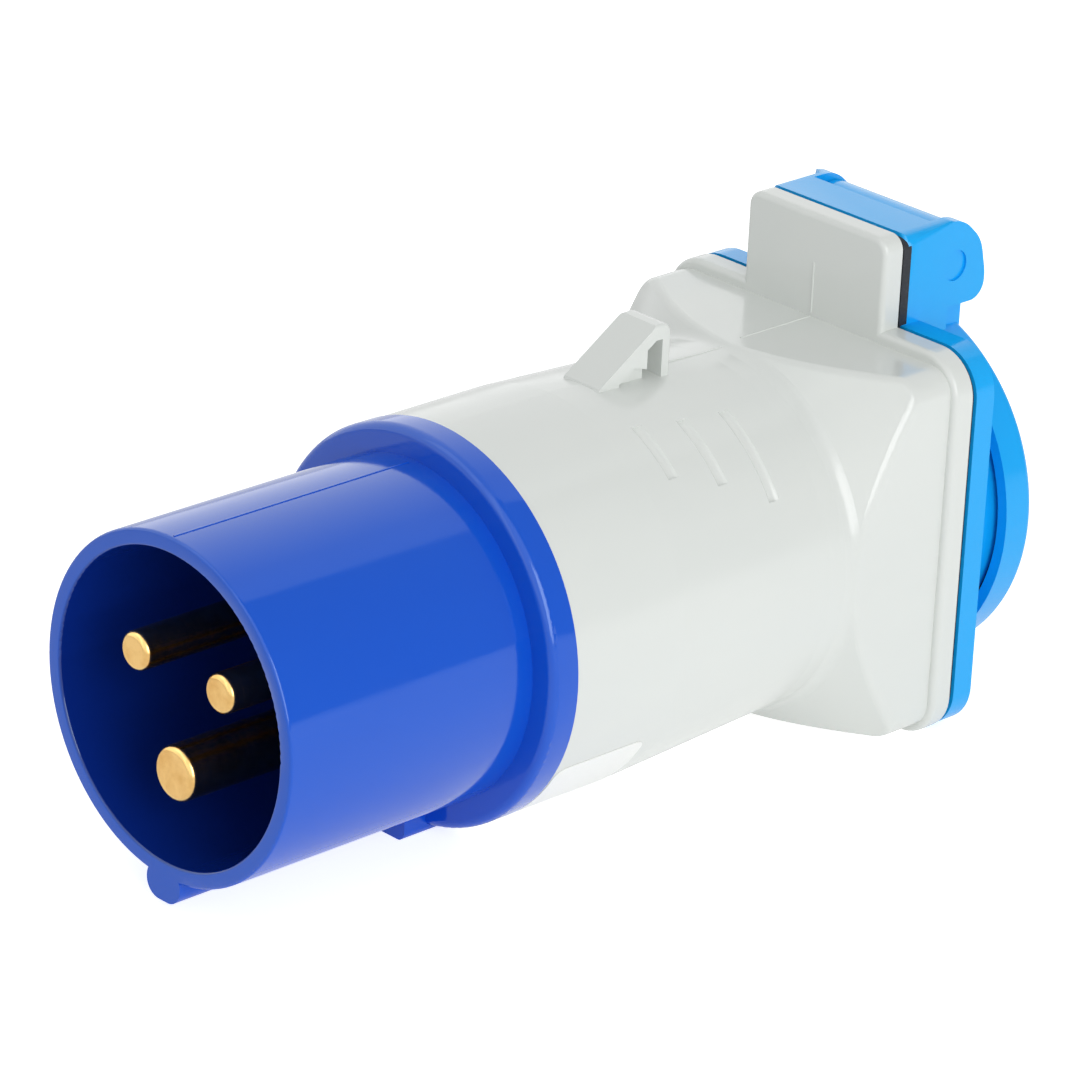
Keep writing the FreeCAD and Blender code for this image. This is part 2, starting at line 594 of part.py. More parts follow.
def make_screws():
    """Every screw of the adapter, by sub-part."""
    groups = []
    carrier_seat = S["collar_back"] + S["carrier_thick"]
    reach = carrier_seat - S["floor_front"] - S["floor_skin"]
    groups.append(group("carrier_screw", [
        screw("CarrierScrew", S["small_head"], S["small_head_thick"], S["small_shaft"], reach,
              (ZERO, carrier_seat, ZERO), TOWARDS_LID)]))
    clamps = []
    for index, ((across, up, _), turn) in enumerate(zip(pin_places(), pin_turns())):
        out_x = S["shank_radius"] * sine(turn)
        out_z = S["shank_radius"] * cosine(turn)
        clamps.append(screw("PinClamp%d" % index, S["clamp_head"], S["clamp_head_thick"], S["clamp_radius"],
                            S["shank_radius"] - S["core_radius"] - 0.05,
                            (across + out_x, S["clamp_place"], up + out_z), TOWARDS_LID, turn))
    groups.append(group("pin_terminal_screws", clamps))
    bulkhead_back = S["bulkhead_front"] + S["bulkhead_thick"]
    groups.append(group("plug_fixing_screws", [
        screw("PlugScrew%d" % index, S["small_head"], S["small_head_thick"], S["small_shaft"],
              S["small_reach"] + S["bulkhead_thick"], (S["boss_offset"] * side, bulkhead_back, ZERO), TOWARDS_LID)
        for index, side in enumerate((1.0, -1.0))]))
    corners = []
    for index, (side, level) in enumerate(((1.0, 1.0), (-1.0, 1.0), (-1.0, -1.0), (1.0, -1.0))):
        reach = FLANGE_BACK - PLATE_BACK + S["pilot_depth"]
        corners.append(screw("FlangeScrew%d" % index, S["small_head"], S["small_head_thick"], S["small_shaft"],
                             reach, (S["fixing_half"] * side, FLANGE_BACK, S["fixing_half"] * level), TOWARDS_LID))
    groups.append(group("flange_screws", corners))
    groups.append(group("centre_screw", [
        screw("CentreScrew", S["centre_head"], S["centre_head_thick"], S["centre_shaft"],
              S["recess_skin"] + S["centre_reach"], (ZERO, S["recess_floor"], ZERO), TOWARDS_LID)]))
    place = S["sleeve_back"] - S["block_length"] + S["block_screw"]
    seat_out = S["contact_offset"] + S["block_half"]
    reach = S["block_half"] - S["core_radius"] - 0.05
    groups.append(group("contact_terminal_screws", [
        screw("LiveClamp", S["clamp_head"], S["clamp_head_thick"], S["clamp_radius"], reach,
              (seat_out, place, ZERO), FreeCAD.Vector(1, 0, 0)),
        screw("NeutralClamp", S["clamp_head"], S["clamp_head_thick"], S["clamp_radius"], reach,
              (-seat_out, place, ZERO), FreeCAD.Vector(-1, 0, 0)),
        screw("EarthClamp", S["clamp_head"], S["clamp_head_thick"], S["clamp_radius"], reach,
              (ZERO, place, -S["earth_drop"] - S["block_half"]), FreeCAD.Vector(0, 0, -1))]))
    return groups


def make_housing():
    """The grey moulding: tube, waist, cone-cut box, plate, tab, strap, grip grooves, bulkhead and pillars."""
    body = new_body("housing")
    bulkhead_back = S["bulkhead_front"] + S["bulkhead_thick"]
    bore = S["spigot_radius"] + S["spigot_gap"]
    rim_place = S["cone_place"] + S["cone_rim"] - S["waist_radius"]
    profile = along_axis(body, "HousingProfile")
    polygon(profile, [
        (S["collar_back"], bore), (S["collar_back"], S["tube_radius"]), (S["tube_straight"], S["tube_radius"]),
        (S["waist_place"], S["waist_radius"]), (S["cone_place"], S["waist_radius"]), (rim_place, S["cone_rim"]),
        (S["plate_front"], S["cone_rim"]), (S["plate_front"], S["cavity_radius"]),
        (bulkhead_back, S["cavity_radius"]), (bulkhead_back, S["bulkhead_opening"]),
        (S["bulkhead_front"], S["bulkhead_opening"]), (S["bulkhead_front"], bore)])
    blank = turned(body, "HousingBlank", profile)
    rounded(body, "Valley", blank, S["valley_round"],
            lambda e: ring_edge(e, S["waist_radius"], S["cone_place"]))
    frame = across_axis(body, "BoxFrame", S["waist_place"])
    far = S["cone_rim"] + 5.0
    box_outline(frame, -far, far, -far, far)
    rounded_box(frame, S["box_half"], S["box_half"], S["box_round"])
    box_sides = pocket(body, "BoxSides", frame, S["plate_front"] - S["waist_place"])
    flat = S["box_half"].number
    rounded(body, "BoxEdges", box_sides, S["box_edge"],
            lambda e: isinstance(e.Curve, Part.Hyperbola)
            and near(max(abs(middle_of(e).x), abs(middle_of(e).z)), flat))
    plate = across_axis(body, "PlateOutline", S["plate_front"])
    rounded_box(plate, PLATE_HALF_WIDTH, PLATE_HALF_HEIGHT, S["plate_round"])
    plate_pad = pad(body, "Plate", plate, S["plate_thick"])
    front = S["plate_front"].number
    reach = S["box_half"].number + 0.2
    plate_soft = rounded(body, "PlateEdge", plate_pad, S["plate_edge"],
                         lambda e: near(middle_of(e).y, front) and near(e.BoundBox.YLength, 0.0)
                         and max(abs(middle_of(e).x), abs(middle_of(e).z)) > reach)
    tab = across_axis(body, "TabOutline", S["plate_front"])
    tab_root = S["box_half"]
    box_outline(tab, -HALF_TAB, HALF_TAB, tab_root, S["tab_top"])
    tab_pad = pad(body, "Tab", tab, S["plate_thick"])
    top = S["tab_top"].number
    tab_corners = rounded(body, "TabCorners", tab_pad, S["tab_round"], lambda e: straight_along(e, 1)
                          and near(middle_of(e).z, top))
    rounded(body, "TabEdge", tab_corners, S["tab_edge"],
            lambda e: near(middle_of(e).y, front) and near(e.BoundBox.YLength, 0.0)
            and middle_of(e).z > PLATE_HALF_HEIGHT.number + 1.0)
    strap = along_axis(body, "StrapOutline")
    rise = S["strap_leg"] * 1.3
    inside = S["waist_radius"] - 0.6
    slope = (STRAP_LEVEL - S["tube_radius"]) / (S["strap_peak"] - S["strap_start"])
    hollow_top = S["tube_radius"] + (S["strap_hollow"] - S["strap_start"]) * slope - rise
    under = S["tube_radius"] + 1.3
    toe = S["strap_start"] + S["strap_leg"] * 2.2
    heel = toe + (under - S["tube_radius"] + 0.3) / slope
    leg_front = S["strap_end"] - S["strap_leg"]
    polygon(strap, [
        (S["strap_start"] - 0.9, inside), (S["strap_start"], S["tube_radius"] - 0.1),
        (S["strap_peak"], STRAP_LEVEL), (S["strap_end"], STRAP_LEVEL), (S["strap_end"], inside),
        (leg_front, inside), (leg_front, STRAP_LEVEL - rise), (S["strap_peak"], STRAP_LEVEL - rise),
        (S["strap_hollow"], hollow_top), (S["strap_hollow"], under - 0.6), (heel, under),
        (toe, S["tube_radius"] - 0.3), (toe, inside)])
    strap_pad = pad(body, "Strap", strap, S["strap_width"], middle=True)
    top_level = STRAP_LEVEL.number
    rear = S["strap_end"].number
    side = S["strap_width"].number / 2.0
    crown = rounded(body, "StrapCrown", strap_pad, S["strap_crown"],
                    lambda e: straight_along(e, 0) and near(middle_of(e).y, rear) and near(middle_of(e).z, top_level))
    rounded(body, "StrapEdges", crown, S["strap_edge"],
            lambda e: near(abs(middle_of(e).x), side) and near(e.BoundBox.XLength, 0.0)
            and middle_of(e).z > top_level - 0.5 and middle_of(e).y < rear - 0.5)
    web = along_axis(body, "StrapWebOutline")
    polygon(web, [
        (toe - 0.4, inside), (toe - 0.4, S["tube_radius"]), (heel, under + 0.3), (S["strap_hollow"], under + 0.3),
        (S["strap_hollow"], inside)])
    pad(body, "StrapWeb", web, S["strap_web"], middle=True)
    grooves = []
    fall = (S["tube_radius"] - S["waist_radius"]) / (S["waist_place"] - S["tube_straight"])
    for index, (middle, sweep) in enumerate(((33.5, 19.0), (37.5, 23.0), (42.5, 31.0))):
        place = S["grip_first"] + S["grip_step"] * index
        level = S["tube_radius"] - (place - S["tube_straight"]) * fall + S["grip_lift"]
        outline = along_axis(body, "GripOutline%d" % index)
        outline.AttachmentOffset = FreeCAD.Placement(FreeCAD.Vector(), FreeCAD.Rotation(FreeCAD.Vector(1, 0, 0), -middle))
        circle(outline, place, level, S["grip_radius"])
        groove = body.newObject("PartDesign::Groove", "Grip%d" % index)
        groove.Profile = outline
        groove.ReferenceAxis = (outline, ["H_Axis"])
        groove.Angle = sweep
        groove.Midplane = True
        grooves.append(groove)
    DOC.recompute()
    mirror = body.newObject("PartDesign::Mirrored", "GripsOpposite")
    mirror.Originals = grooves
    mirror.MirrorPlane = ([f for f in body.Origin.OriginFeatures if f.Role == "YZ_Plane"][0], [""])
    body.Tip = mirror
    cavity = across_axis(body, "BoxCavityOutline", S["box_floor"])
    cavity_half = S["box_half"] - S["box_wall"]
    rounded_box(cavity, cavity_half, cavity_half, S["box_round"])
    pocket(body, "BoxCavity", cavity, PLATE_BACK - S["box_floor"])
    pillars = across_axis(body, "PillarOutline", S["box_floor"])
    for side, level in ((1.0, 1.0), (-1.0, 1.0), (-1.0, -1.0), (1.0, -1.0)):
        circle(pillars, S["fixing_half"] * side, S["fixing_half"] * level, S["pillar_radius"])
    pad(body, "Pillars", pillars, PLATE_BACK - S["box_floor"])
    pilots = across_axis(body, "PillarPilotOutline", PLATE_BACK)
    for side, level in ((1.0, 1.0), (-1.0, 1.0), (-1.0, -1.0), (1.0, -1.0)):
        circle(pilots, S["fixing_half"] * side, S["fixing_half"] * level, S["small_shaft"])
    pocket(body, "PillarPilots", pilots, S["pilot_depth"], towards_lid=False)
    passages = across_axis(body, "BulkheadHoleOutline", S["bulkhead_front"])
    for side in (1.0, -1.0):
        circle(passages, S["boss_offset"] * side, ZERO, S["small_shaft"] + S["small_gap"])
    pocket(body, "BulkheadHoles", passages, S["bulkhead_thick"])
    seat(body)
    return body


def make_spigot_seal():
    """The seal ring between the spigot and the housing's bore."""
    body = new_body("spigot_seal")
    outline = across_axis(body, "SpigotSealOutline", S["seal_place"])
    circle(outline, ZERO, ZERO, S["spigot_radius"] + S["spigot_gap"])
    circle(outline, ZERO, ZERO, S["spigot_radius"] - S["seal_depth"])
    pad(body, "SpigotSealRing", outline, S["seal_width"])
    seat(body)
    return body


def make_gasket():
    """The flat gasket: the outline of the plate and the tab, with the cup's opening and the screw holes."""
    body = new_body("flange_gasket")
    outline = across_axis(body, "GasketOutline", PLATE_BACK)
    rounded_box(outline, PLATE_HALF_WIDTH, PLATE_HALF_HEIGHT, S["plate_round"])
    pad(body, "GasketSheet", outline, S["gasket_thick"])
    tab = across_axis(body, "GasketTabOutline", PLATE_BACK)
    box_outline(tab, -HALF_TAB, HALF_TAB, S["box_half"], S["tab_top"])
    tab_pad = pad(body, "GasketTab", tab, S["gasket_thick"])
    top = S["tab_top"].number
    rounded(body, "GasketTabCorners", tab_pad, S["tab_round"], lambda e: straight_along(e, 1)
            and near(middle_of(e).z, top))
    holes = across_axis(body, "GasketHoleOutline", PLATE_BACK)
    circle(holes, ZERO, ZERO, S["cup_radius"] + S["gasket_gap"])
    for side, level in ((1.0, 1.0), (-1.0, 1.0), (-1.0, -1.0), (1.0, -1.0)):
        circle(holes, S["fixing_half"] * side, S["fixing_half"] * level, S["small_shaft"] + S["small_gap"])
    pocket(body, "GasketHoles", holes, S["gasket_thick"])
    seat(body)
    return body


def make_socket_flange():
    """The light blue moulding: flange, cup, recess with guide ribs, collar, hinge block and two cheeks."""
    body = new_body("socket_flange")
    profile = along_axis(body, "CupProfile")
    polygon(profile, [
        (CUP_BACK, ZERO), (CUP_BACK, S["cup_radius"]), (FLANGE_FRONT, S["cup_radius"]),
        (FLANGE_FRONT, S["rim_radius"]), (S["rim_place"], S["rim_radius"]), (S["rim_place"], S["recess_radius"]),
        (S["recess_floor"], S["recess_radius"]), (S["recess_floor"], ZERO)])
    turned(body, "Cup", profile)
    sheet = across_axis(body, "FlangeOutline", FLANGE_FRONT)
    rounded_box(sheet, PLATE_HALF_WIDTH, PLATE_HALF_HEIGHT, S["flange_round"])
    circle(sheet, ZERO, ZERO, (S["recess_radius"] + S["cup_radius"]) / 2.0)
    pad(body, "Flange", sheet, S["flange_thick"])
    block = across_axis(body, "HingeBlockOutline", FLANGE_FRONT)
    foot = S["hinge_foot"] + 3.0
    box_outline(block, -HALF_TAB, HALF_TAB, foot, S["tab_top"])
    pad(body, "HingeBlock", block, S["hinge_block"])
    clear = along_axis(body, "BarrelClearOutline")
    circle(clear, S["hinge_place"], S["hinge_level"], S["barrel_radius"] + S["barrel_clear"])
    pocket(body, "BarrelClear", clear, CHEEK_INSIDE * 2.0, middle=True)
    cheek = along_axis(body, "CheekOutline", CHEEK_INSIDE)
    hinge, level = S["hinge_place"], S["hinge_level"]
    nose = S["cheek_nose"]
    chin = level - nose * 0.96
    polygon(cheek, [
        (FLANGE_BACK - 0.5, S["tab_top"]), (hinge + nose * 0.16, S["tab_top"]),
        (hinge + nose * 0.81, level + nose * 0.46), (hinge + nose, level - nose * 0.35), (hinge + nose, chin),
        (S["cheek_back"], chin), (S["cheek_back"], S["cheek_foot"]), (FLANGE_BACK - 0.5, S["cheek_foot"])])
    cheek_pad = pad(body, "Cheek", cheek, S["cheek_thick"], towards_lid=False)
    cheek_side = CHEEK_INSIDE.number
    shoulder_from = hinge.number
    cheek_soft = rounded(body, "CheekShoulders", cheek_pad, S["cheek_round"],
                         lambda e: straight_along(e, 0) and middle_of(e).x > cheek_side
                         and middle_of(e).y > shoulder_from and middle_of(e).z > chin.number + 0.5)
    cheek_chin = rounded(body, "CheekChin", cheek_soft, S["cheek_chin"],
                         lambda e: straight_along(e, 0) and middle_of(e).x > cheek_side
                         and middle_of(e).y > shoulder_from and near(middle_of(e).z, chin.number))
    DOC.recompute()
    mirror = body.newObject("PartDesign::Mirrored", "CheekOpposite")
    mirror.Originals = [cheek_pad, cheek_soft, cheek_chin]
    mirror.MirrorPlane = ([f for f in body.Origin.OriginFeatures if f.Role == "YZ_Plane"][0], [""])
    body.Tip = mirror
    pin_hole = along_axis(body, "HingeHoleOutline", -HALF_TAB)
    circle(pin_hole, hinge, level, S["hinge_pin_radius"])
    pocket(body, "HingeHole", pin_hole, S["tab_width"] - S["hinge_pin_stop"], towards_lid=False)
    dimple = along_axis(body, "DimpleOutline", HALF_TAB)
    circle(dimple, hinge, level, S["dimple_radius"])
    pocket(body, "Dimple", dimple, S["dimple_depth"])
    holes = across_axis(body, "FloorHoleOutline", CUP_BACK)
    for side in (1.0, -1.0):
        circle(holes, S["contact_offset"] * side, ZERO, S["contact_hole"])
    circle(holes, ZERO, ZERO, S["centre_shaft"] + S["small_gap"])
    half_slot = S["strip_width"] / 2.0 + S["strip_gap"]
    slot_low = S["clip_reach"] - S["strip_thick"] - S["strip_gap"]
    slot_high = S["clip_reach"] + S["strip_gap"]
    box_outline(holes, -half_slot, half_slot, slot_low, slot_high)
    box_outline(holes, -half_slot, half_slot, -slot_high, -slot_low)
    pocket(body, "FloorHoles", holes, S["recess_skin"])
    guides = across_axis(body, "GuideOutline", S["recess_floor"])
    half_guide = S["guide_width"] / 2.0
    inner = S["recess_radius"] - S["guide_proud"]
    outer = (S["recess_radius"] + S["cup_radius"]) / 2.0
    box_outline(guides, inner, outer, -half_guide, half_guide)
    box_outline(guides, -outer, -inner, -half_guide, half_guide)
    pad(body, "GuideRibs", guides, S["guide_end"] - S["recess_floor"])
    fixings = across_axis(body, "FlangeHoleOutline", FLANGE_FRONT)
    for side, up in ((1.0, 1.0), (-1.0, 1.0), (-1.0, -1.0), (1.0, -1.0)):
        circle(fixings, S["fixing_half"] * side, S["fixing_half"] * up, S["small_shaft"] + S["small_gap"])
    pocket(body, "FlangeHoles", fixings, S["flange_thick"])
    seat(body)
    return body


def make_socket_base():
    """The insert behind the recess floor that carries the contacts."""
    body = new_body("socket_base")
    outline = across_axis(body, "BaseOutline", S["sleeve_back"])
    circle(outline, ZERO, ZERO, S["base_radius"])
    pad(body, "BaseDisc", outline, CUP_BACK - S["sleeve_back"])
    sleeves = across_axis(body, "BaseSleeveOutline", S["sleeve_back"])
    for side in (1.0, -1.0):
        circle(sleeves, S["contact_offset"] * side, ZERO, S["contact_bore"] + S["contact_wall"] + S["sleeve_gap"])
    half = S["strip_width"] / 2.0 + S["strip_gap"]
    drop = S["earth_drop"]
    box_outline(sleeves, -half, half, -drop - S["block_half"] - S["strip_gap"],
                -drop + S["block_half"] + S["strip_gap"])
    pocket(body, "BaseSleeves", sleeves, CUP_BACK - S["sleeve_back"])
    channel = across_axis(body, "BaseChannelOutline", CUP_BACK)
    far = S["base_radius"] + 1.0
    box_outline(channel, -half, half, -far, far)
    pocket(body, "BaseChannel", channel, S["strip_thick"], towards_lid=False)
    centre = across_axis(body, "BaseCentreOutline", CUP_BACK)
    circle(centre, ZERO, ZERO, S["centre_shaft"])
    pocket(body, "BaseCentre", centre, S["centre_reach"], towards_lid=False)
    seat(body)
    return body


def make_contact(name, side):
    """A contact sleeve, slit on one side, with its terminal block."""
    body = new_body(name)
    outer = S["contact_bore"] + S["contact_wall"]
    front = CUP_BACK - S["sleeve_gap"]
    block_back = S["sleeve_back"] - S["block_length"]
    sleeve = across_axis(body, name + "_sleeve_outline", S["sleeve_back"])
    circle(sleeve, ZERO, ZERO, outer)
    pad(body, name + "_sleeve", sleeve, front - S["sleeve_back"])
    block = across_axis(body, name + "_block_outline", block_back)
    box_outline(block, -S["block_half"], S["block_half"], -S["block_half"], S["block_half"])
    pad(body, name + "_block", block, S["block_length"])
    bore = across_axis(body, name + "_bore_outline", front)
    circle(bore, ZERO, ZERO, S["contact_bore"])
    depth = S["contact_depth"] - S["recess_skin"] - S["sleeve_gap"]
    pocket(body, name + "_bore", bore, depth, towards_lid=False)
    slit = across_axis(body, name + "_slit_outline", front)
    box_outline(slit, -as_size(0.4), as_size(0.4), ZERO, outer + 0.5)
    pocket(body, name + "_slit", slit, (front - S["sleeve_back"]) * 0.7, towards_lid=False)
    core = across_axis(body, name + "_core_outline", block_back)
    circle(core, ZERO, ZERO, S["core_radius"])
    pocket(body, name + "_core", core, S["block_core"])
    clamp = along_axis(body, name + "_clamp_outline", S["block_half"] * side)
    circle(clamp, block_back + S["block_screw"], ZERO, S["clamp_radius"])
    pocket(body, name + "_clamp", clamp, S["block_half"], towards_lid=side > 0)
    seat(body, S["contact_offset"] * side)
    return body


def make_earth_bracket():
    """The earth strip with two bowed clips in the recess and its terminal block."""
    body = new_body("earth_bracket")
    back = CUP_BACK - S["strip_thick"]
    reach = S["clip_reach"]
    inside = reach - S["strip_thick"]
    bow = S["clip_bow"]
    lift = as_size(0.35)
    upper = [(back, reach), (S["recess_floor"], reach), (S["clip_peak"], reach - bow), (S["clip_end"], reach - 0.1),
             (S["clip_end"] + lift, inside), (S["clip_peak"] + lift * 0.3, inside - bow - 0.05),
             (S["recess_floor"], inside), (CUP_BACK, inside)]
    lower = [(place, -level) for place, level in reversed(upper)]
    outline = along_axis(body, "StripOutline")
    polygon(outline, upper + lower)
    pad(body, "Strip", outline, S["strip_width"], middle=True)
    block_back = S["sleeve_back"] - S["block_length"]
    block = across_axis(body, "EarthBlockOutline", block_back)
    half = S["strip_width"] / 2.0
    drop = S["earth_drop"]
    box_outline(block, -half, half, -drop - S["block_half"], -drop + S["block_half"])
    pad(body, "EarthBlock", block, CUP_BACK - S["strip_thick"] / 2.0 - block_back)
    core = across_axis(body, "EarthCoreOutline", block_back)
    circle(core, ZERO, -drop, S["core_radius"])
    pocket(body, "EarthCore", core, S["block_core"])
    clamp = sketch_on(body, "EarthClampOutline", "XY_Plane", -drop - S["block_half"])
    circle(clamp, ZERO, block_back + S["block_screw"], S["clamp_radius"])
    pocket(body, "EarthClampHole", clamp, S["block_half"], towards_lid=False)
    centre = across_axis(body, "StripCentreOutline", back)
    circle(centre, ZERO, ZERO, S["centre_shaft"] + S["small_gap"])
    pocket(body, "StripCentre", centre, S["strip_thick"])
    seat(body)
    return body


def make_hinge_pin():
    """The steel pin, from the left cheek's face to its stop in the right cheek."""
    pin = cylinder("hinge_pin", S["hinge_pin_radius"], S["tab_width"] - S["hinge_pin_stop"])
    pin.Label = "hinge_pin"
    pin.Placement = FreeCAD.Placement(FreeCAD.Vector(), FreeCAD.Rotation(FreeCAD.Vector(0, 1, 0), 90.0))
    seat(pin, -HALF_TAB, S["hinge_place"], S["hinge_level"])
    return pin


def make_lid():
    """The lid: shallow disc, arm, and a barrel bored for the pin and the torsion spring."""
    body = new_body("lid")
    disc = across_axis(body, "LidOutline", S["lid_front"])
    circle(disc, ZERO, S["lid_rise"], S["lid_radius"])
    disc_pad = pad(body, "LidDisc", disc, S["lid_back"] - S["lid_front"])
    rounded(body, "LidEdge", disc_pad, S["lid_edge"],
            lambda e: ring_edge(e, S["lid_radius"], S["lid_back"], S["lid_rise"].number))
    arm = across_axis(body, "ArmOutline", S["lid_back"] - S["arm_thick"])
    box_outline(arm, -BARREL_HALF, BARREL_HALF, S["arm_start"], S["hinge_level"])
    pad(body, "Arm", arm, S["arm_thick"])
    barrel = along_axis(body, "BarrelOutline")
    circle(barrel, S["hinge_place"], S["hinge_level"], S["barrel_radius"])
    pad(body, "Barrel", barrel, BARREL_HALF * 2.0, middle=True)
    hollow = across_axis(body, "LidHollowOutline", S["lid_front"] - 6.0)
    circle(hollow, ZERO, S["lid_rise"], LID_INNER)
    pocket(body, "LidHollow", hollow, SEAL_BACK - S["lid_front"] + 6.0)
    bore = along_axis(body, "LidBoreOutline")
    circle(bore, S["hinge_place"], S["hinge_level"], S["hinge_pin_radius"] + S["hinge_pin_play"])
    pocket(body, "LidBore", bore, S["tab_width"], middle=True)
    room = along_axis(body, "SpringRoomOutline", -BARREL_HALF)
    coil_outer = S["coil_radius"] + S["coil_wire"] + S["coil_room"]
    circle(room, S["hinge_place"], S["hinge_level"], coil_outer)
    length = S["coil_start"] + S["coil_turns"] * S["coil_pitch"] + S["coil_wire"] * 2.0 + S["coil_room"]
    pocket(body, "SpringRoom", room, length, towards_lid=False)
    seat(body)
    return body


def make_lid_seal():
    """The flat seal ring in the lid."""
    body = new_body("lid_seal")
    outline = across_axis(body, "LidSealOutline", SEAL_FRONT)
    circle(outline, ZERO, S["lid_rise"], LID_INNER)
    circle(outline, ZERO, S["lid_rise"], S["lid_seal_inner"])
    pad(body, "LidSealRing", outline, SEAL_BACK - SEAL_FRONT)
    seat(body)
    return body


def make_lid_spring():
    """The torsion spring round the hinge pin, inside the barrel."""
    turns, pitch = S["coil_turns"].number, S["coil_pitch"].number
    mean, wire = S["coil_radius"].number, S["coil_wire"].number
    helix = Part.makeHelix(pitch, turns * pitch, mean)
    start = FreeCAD.Vector(mean, 0, 0)
    section = Part.Wire([Part.makeCircle(wire, start, FreeCAD.Vector(0, 1, 0))])
    coil = Part.Wire(helix.Edges).makePipeShell([section], True, True)
    spring = DOC.addObject("Part::Feature", "lid_spring")
    spring.Label = "lid_spring"
    spring.Shape = coil
    spring.Placement = FreeCAD.Placement(FreeCAD.Vector(), FreeCAD.Rotation(FreeCAD.Vector(0, 1, 0), 90.0))
    seat(spring, -BARREL_HALF + S["coil_start"] + S["coil_wire"], S["hinge_place"], S["hinge_level"])
    return spring


def bent_path(points):
    """Straight runs joined by the largest tangent arcs that the shorter run allows."""
    edges = []
    start = points[0]
    for before, corner, after in zip(points, points[1:], points[2:]):
        back, ahead = before - corner, after - corner
        short = min(back.Length, ahead.Length)
        turn = math.pi - back.getAngle(ahead)
        cut = 0.45 * short
        into = corner + FreeCAD.Vector(back).normalize() * cut
        out = corner + FreeCAD.Vector(ahead).normalize() * cut
        inward = (FreeCAD.Vector(back).normalize() + FreeCAD.Vector(ahead).normalize()).normalize()
        radius = cut / math.tan(turn / 2)
        middle = corner + inward * (radius / math.cos(turn / 2) - radius)
        edges.append(Part.LineSegment(start, into).toShape())
        edges.append(Part.Arc(into, middle, out).toShape())
        print("bend radius %.1f" % radius)
        start = out
    edges.append(Part.LineSegment(start, points[-1]).toShape())
    return Part.Wire(edges)


def make_wire(name, from_place, to_place):
    """An inner wire from a pin's terminal to a contact's terminal."""
    (x0, z0), (x1, z1) = from_place, to_place
    pin_end = S["shank_end"].number
    block_back = (S["sleeve_back"] - S["block_length"]).number
    lead, reach = S["wire_lead"].number, S["wire_reach"].number
    points = [FreeCAD.Vector(x0, pin_end - reach + 0.6, z0), FreeCAD.Vector(x0, pin_end + lead, z0),
              FreeCAD.Vector(x1, block_back - lead, z1), FreeCAD.Vector(x1, block_back + reach, z1)]
    path = bent_path(points)
    ring = Part.Wire([Part.makeCircle(S["wire_radius"].number, points[0], FreeCAD.Vector(0, 1, 0))])
    tube = path.makePipeShell([ring], True, False)
    full = math.pi * S["wire_radius"].number ** 2 * path.Length
    if abs(tube.Volume - full) > 0.01 * full:
        raise ValueError("the wire %s has the wrong volume" % name)
    wire = DOC.addObject("Part::Feature", name)
    wire.Label = name
    wire.Shape = tube
    seat(wire)
    return wire


def make_wires():
    pins = [(across.number, up.number) for across, up, _ in pin_places()]
    offset, drop = S["contact_offset"].number, S["earth_drop"].number
    ends = [(offset, 0.0), (-offset, 0.0), (0.0, -drop)]
    names = ["live_wire", "neutral_wire", "earth_wire"]
    return [make_wire(name, start, end) for name, start, end in zip(names, pins, ends)]


def check(parts):
    """Stop if any object failed, any cut removed nothing, or any sub-part is not sound."""
    for thing in DOC.Objects:
        if "Invalid" in thing.State or "Error" in thing.State:
            raise RuntimeError("%s failed: %s" % (thing.Name, thing.State))
        if thing.TypeId in ("PartDesign::Pocket", "PartDesign::Groove", "PartDesign::Fillet"):
            before = thing.BaseFeature.Shape.Volume
            change = before - thing.Shape.Volume
            if thing.TypeId == "PartDesign::Fillet":
                change = abs(change)
            if change < 0.005:
                raise RuntimeError("%s changes nothing" % thing.Name)
    for thing in parts:
        shape = thing.Shape
        if shape.isNull() or not shape.isValid() or shape.Volume <= 0:
            raise RuntimeError("%s is not sound" % thing.Label)


def main():
    pins = [make_pin(name, place, turn) for name, place, turn in
            zip(("live_pin", "neutral_pin", "earth_pin"), pin_places(), pin_turns())]
    parts = [make_plug_front(), make_pin_carrier()] + pins + make_screws()
    parts += [make_housing(), make_spigot_seal(), make_gasket(), make_socket_flange(), make_socket_base()]
    parts += [make_contact("live_contact", 1.0), make_contact("neutral_contact", -1.0), make_earth_bracket()]
    parts += [make_hinge_pin(), make_lid(), make_lid_seal(), make_lid_spring()]
    parts += make_wires()
    DOC.recompute()
    check(parts)
    os.makedirs("parts", exist_ok=True)
    for part in parts:
        part.Shape.exportStep(os.path.join("parts", part.Label + ".step"))
        box = part.Shape.BoundBox
        print("%-24s volume %9.1f  solids %d  y %7.2f %7.2f  z %7.2f %7.2f" % (
            part.Label, part.Shape.Volume, len(part.Shape.Solids), box.YMin, box.YMax, box.ZMin, box.ZMax))


main()
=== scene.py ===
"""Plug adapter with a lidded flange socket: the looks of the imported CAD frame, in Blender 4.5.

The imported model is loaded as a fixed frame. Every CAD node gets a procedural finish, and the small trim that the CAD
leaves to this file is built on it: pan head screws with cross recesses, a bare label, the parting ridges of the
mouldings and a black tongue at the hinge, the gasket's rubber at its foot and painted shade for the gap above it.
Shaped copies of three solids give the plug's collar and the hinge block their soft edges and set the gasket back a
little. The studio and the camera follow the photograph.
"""

import logging
import math
from dataclasses import dataclass
from enum import Enum
from typing import Iterable

import bmesh
import bpy
from mathutils import Matrix, Vector


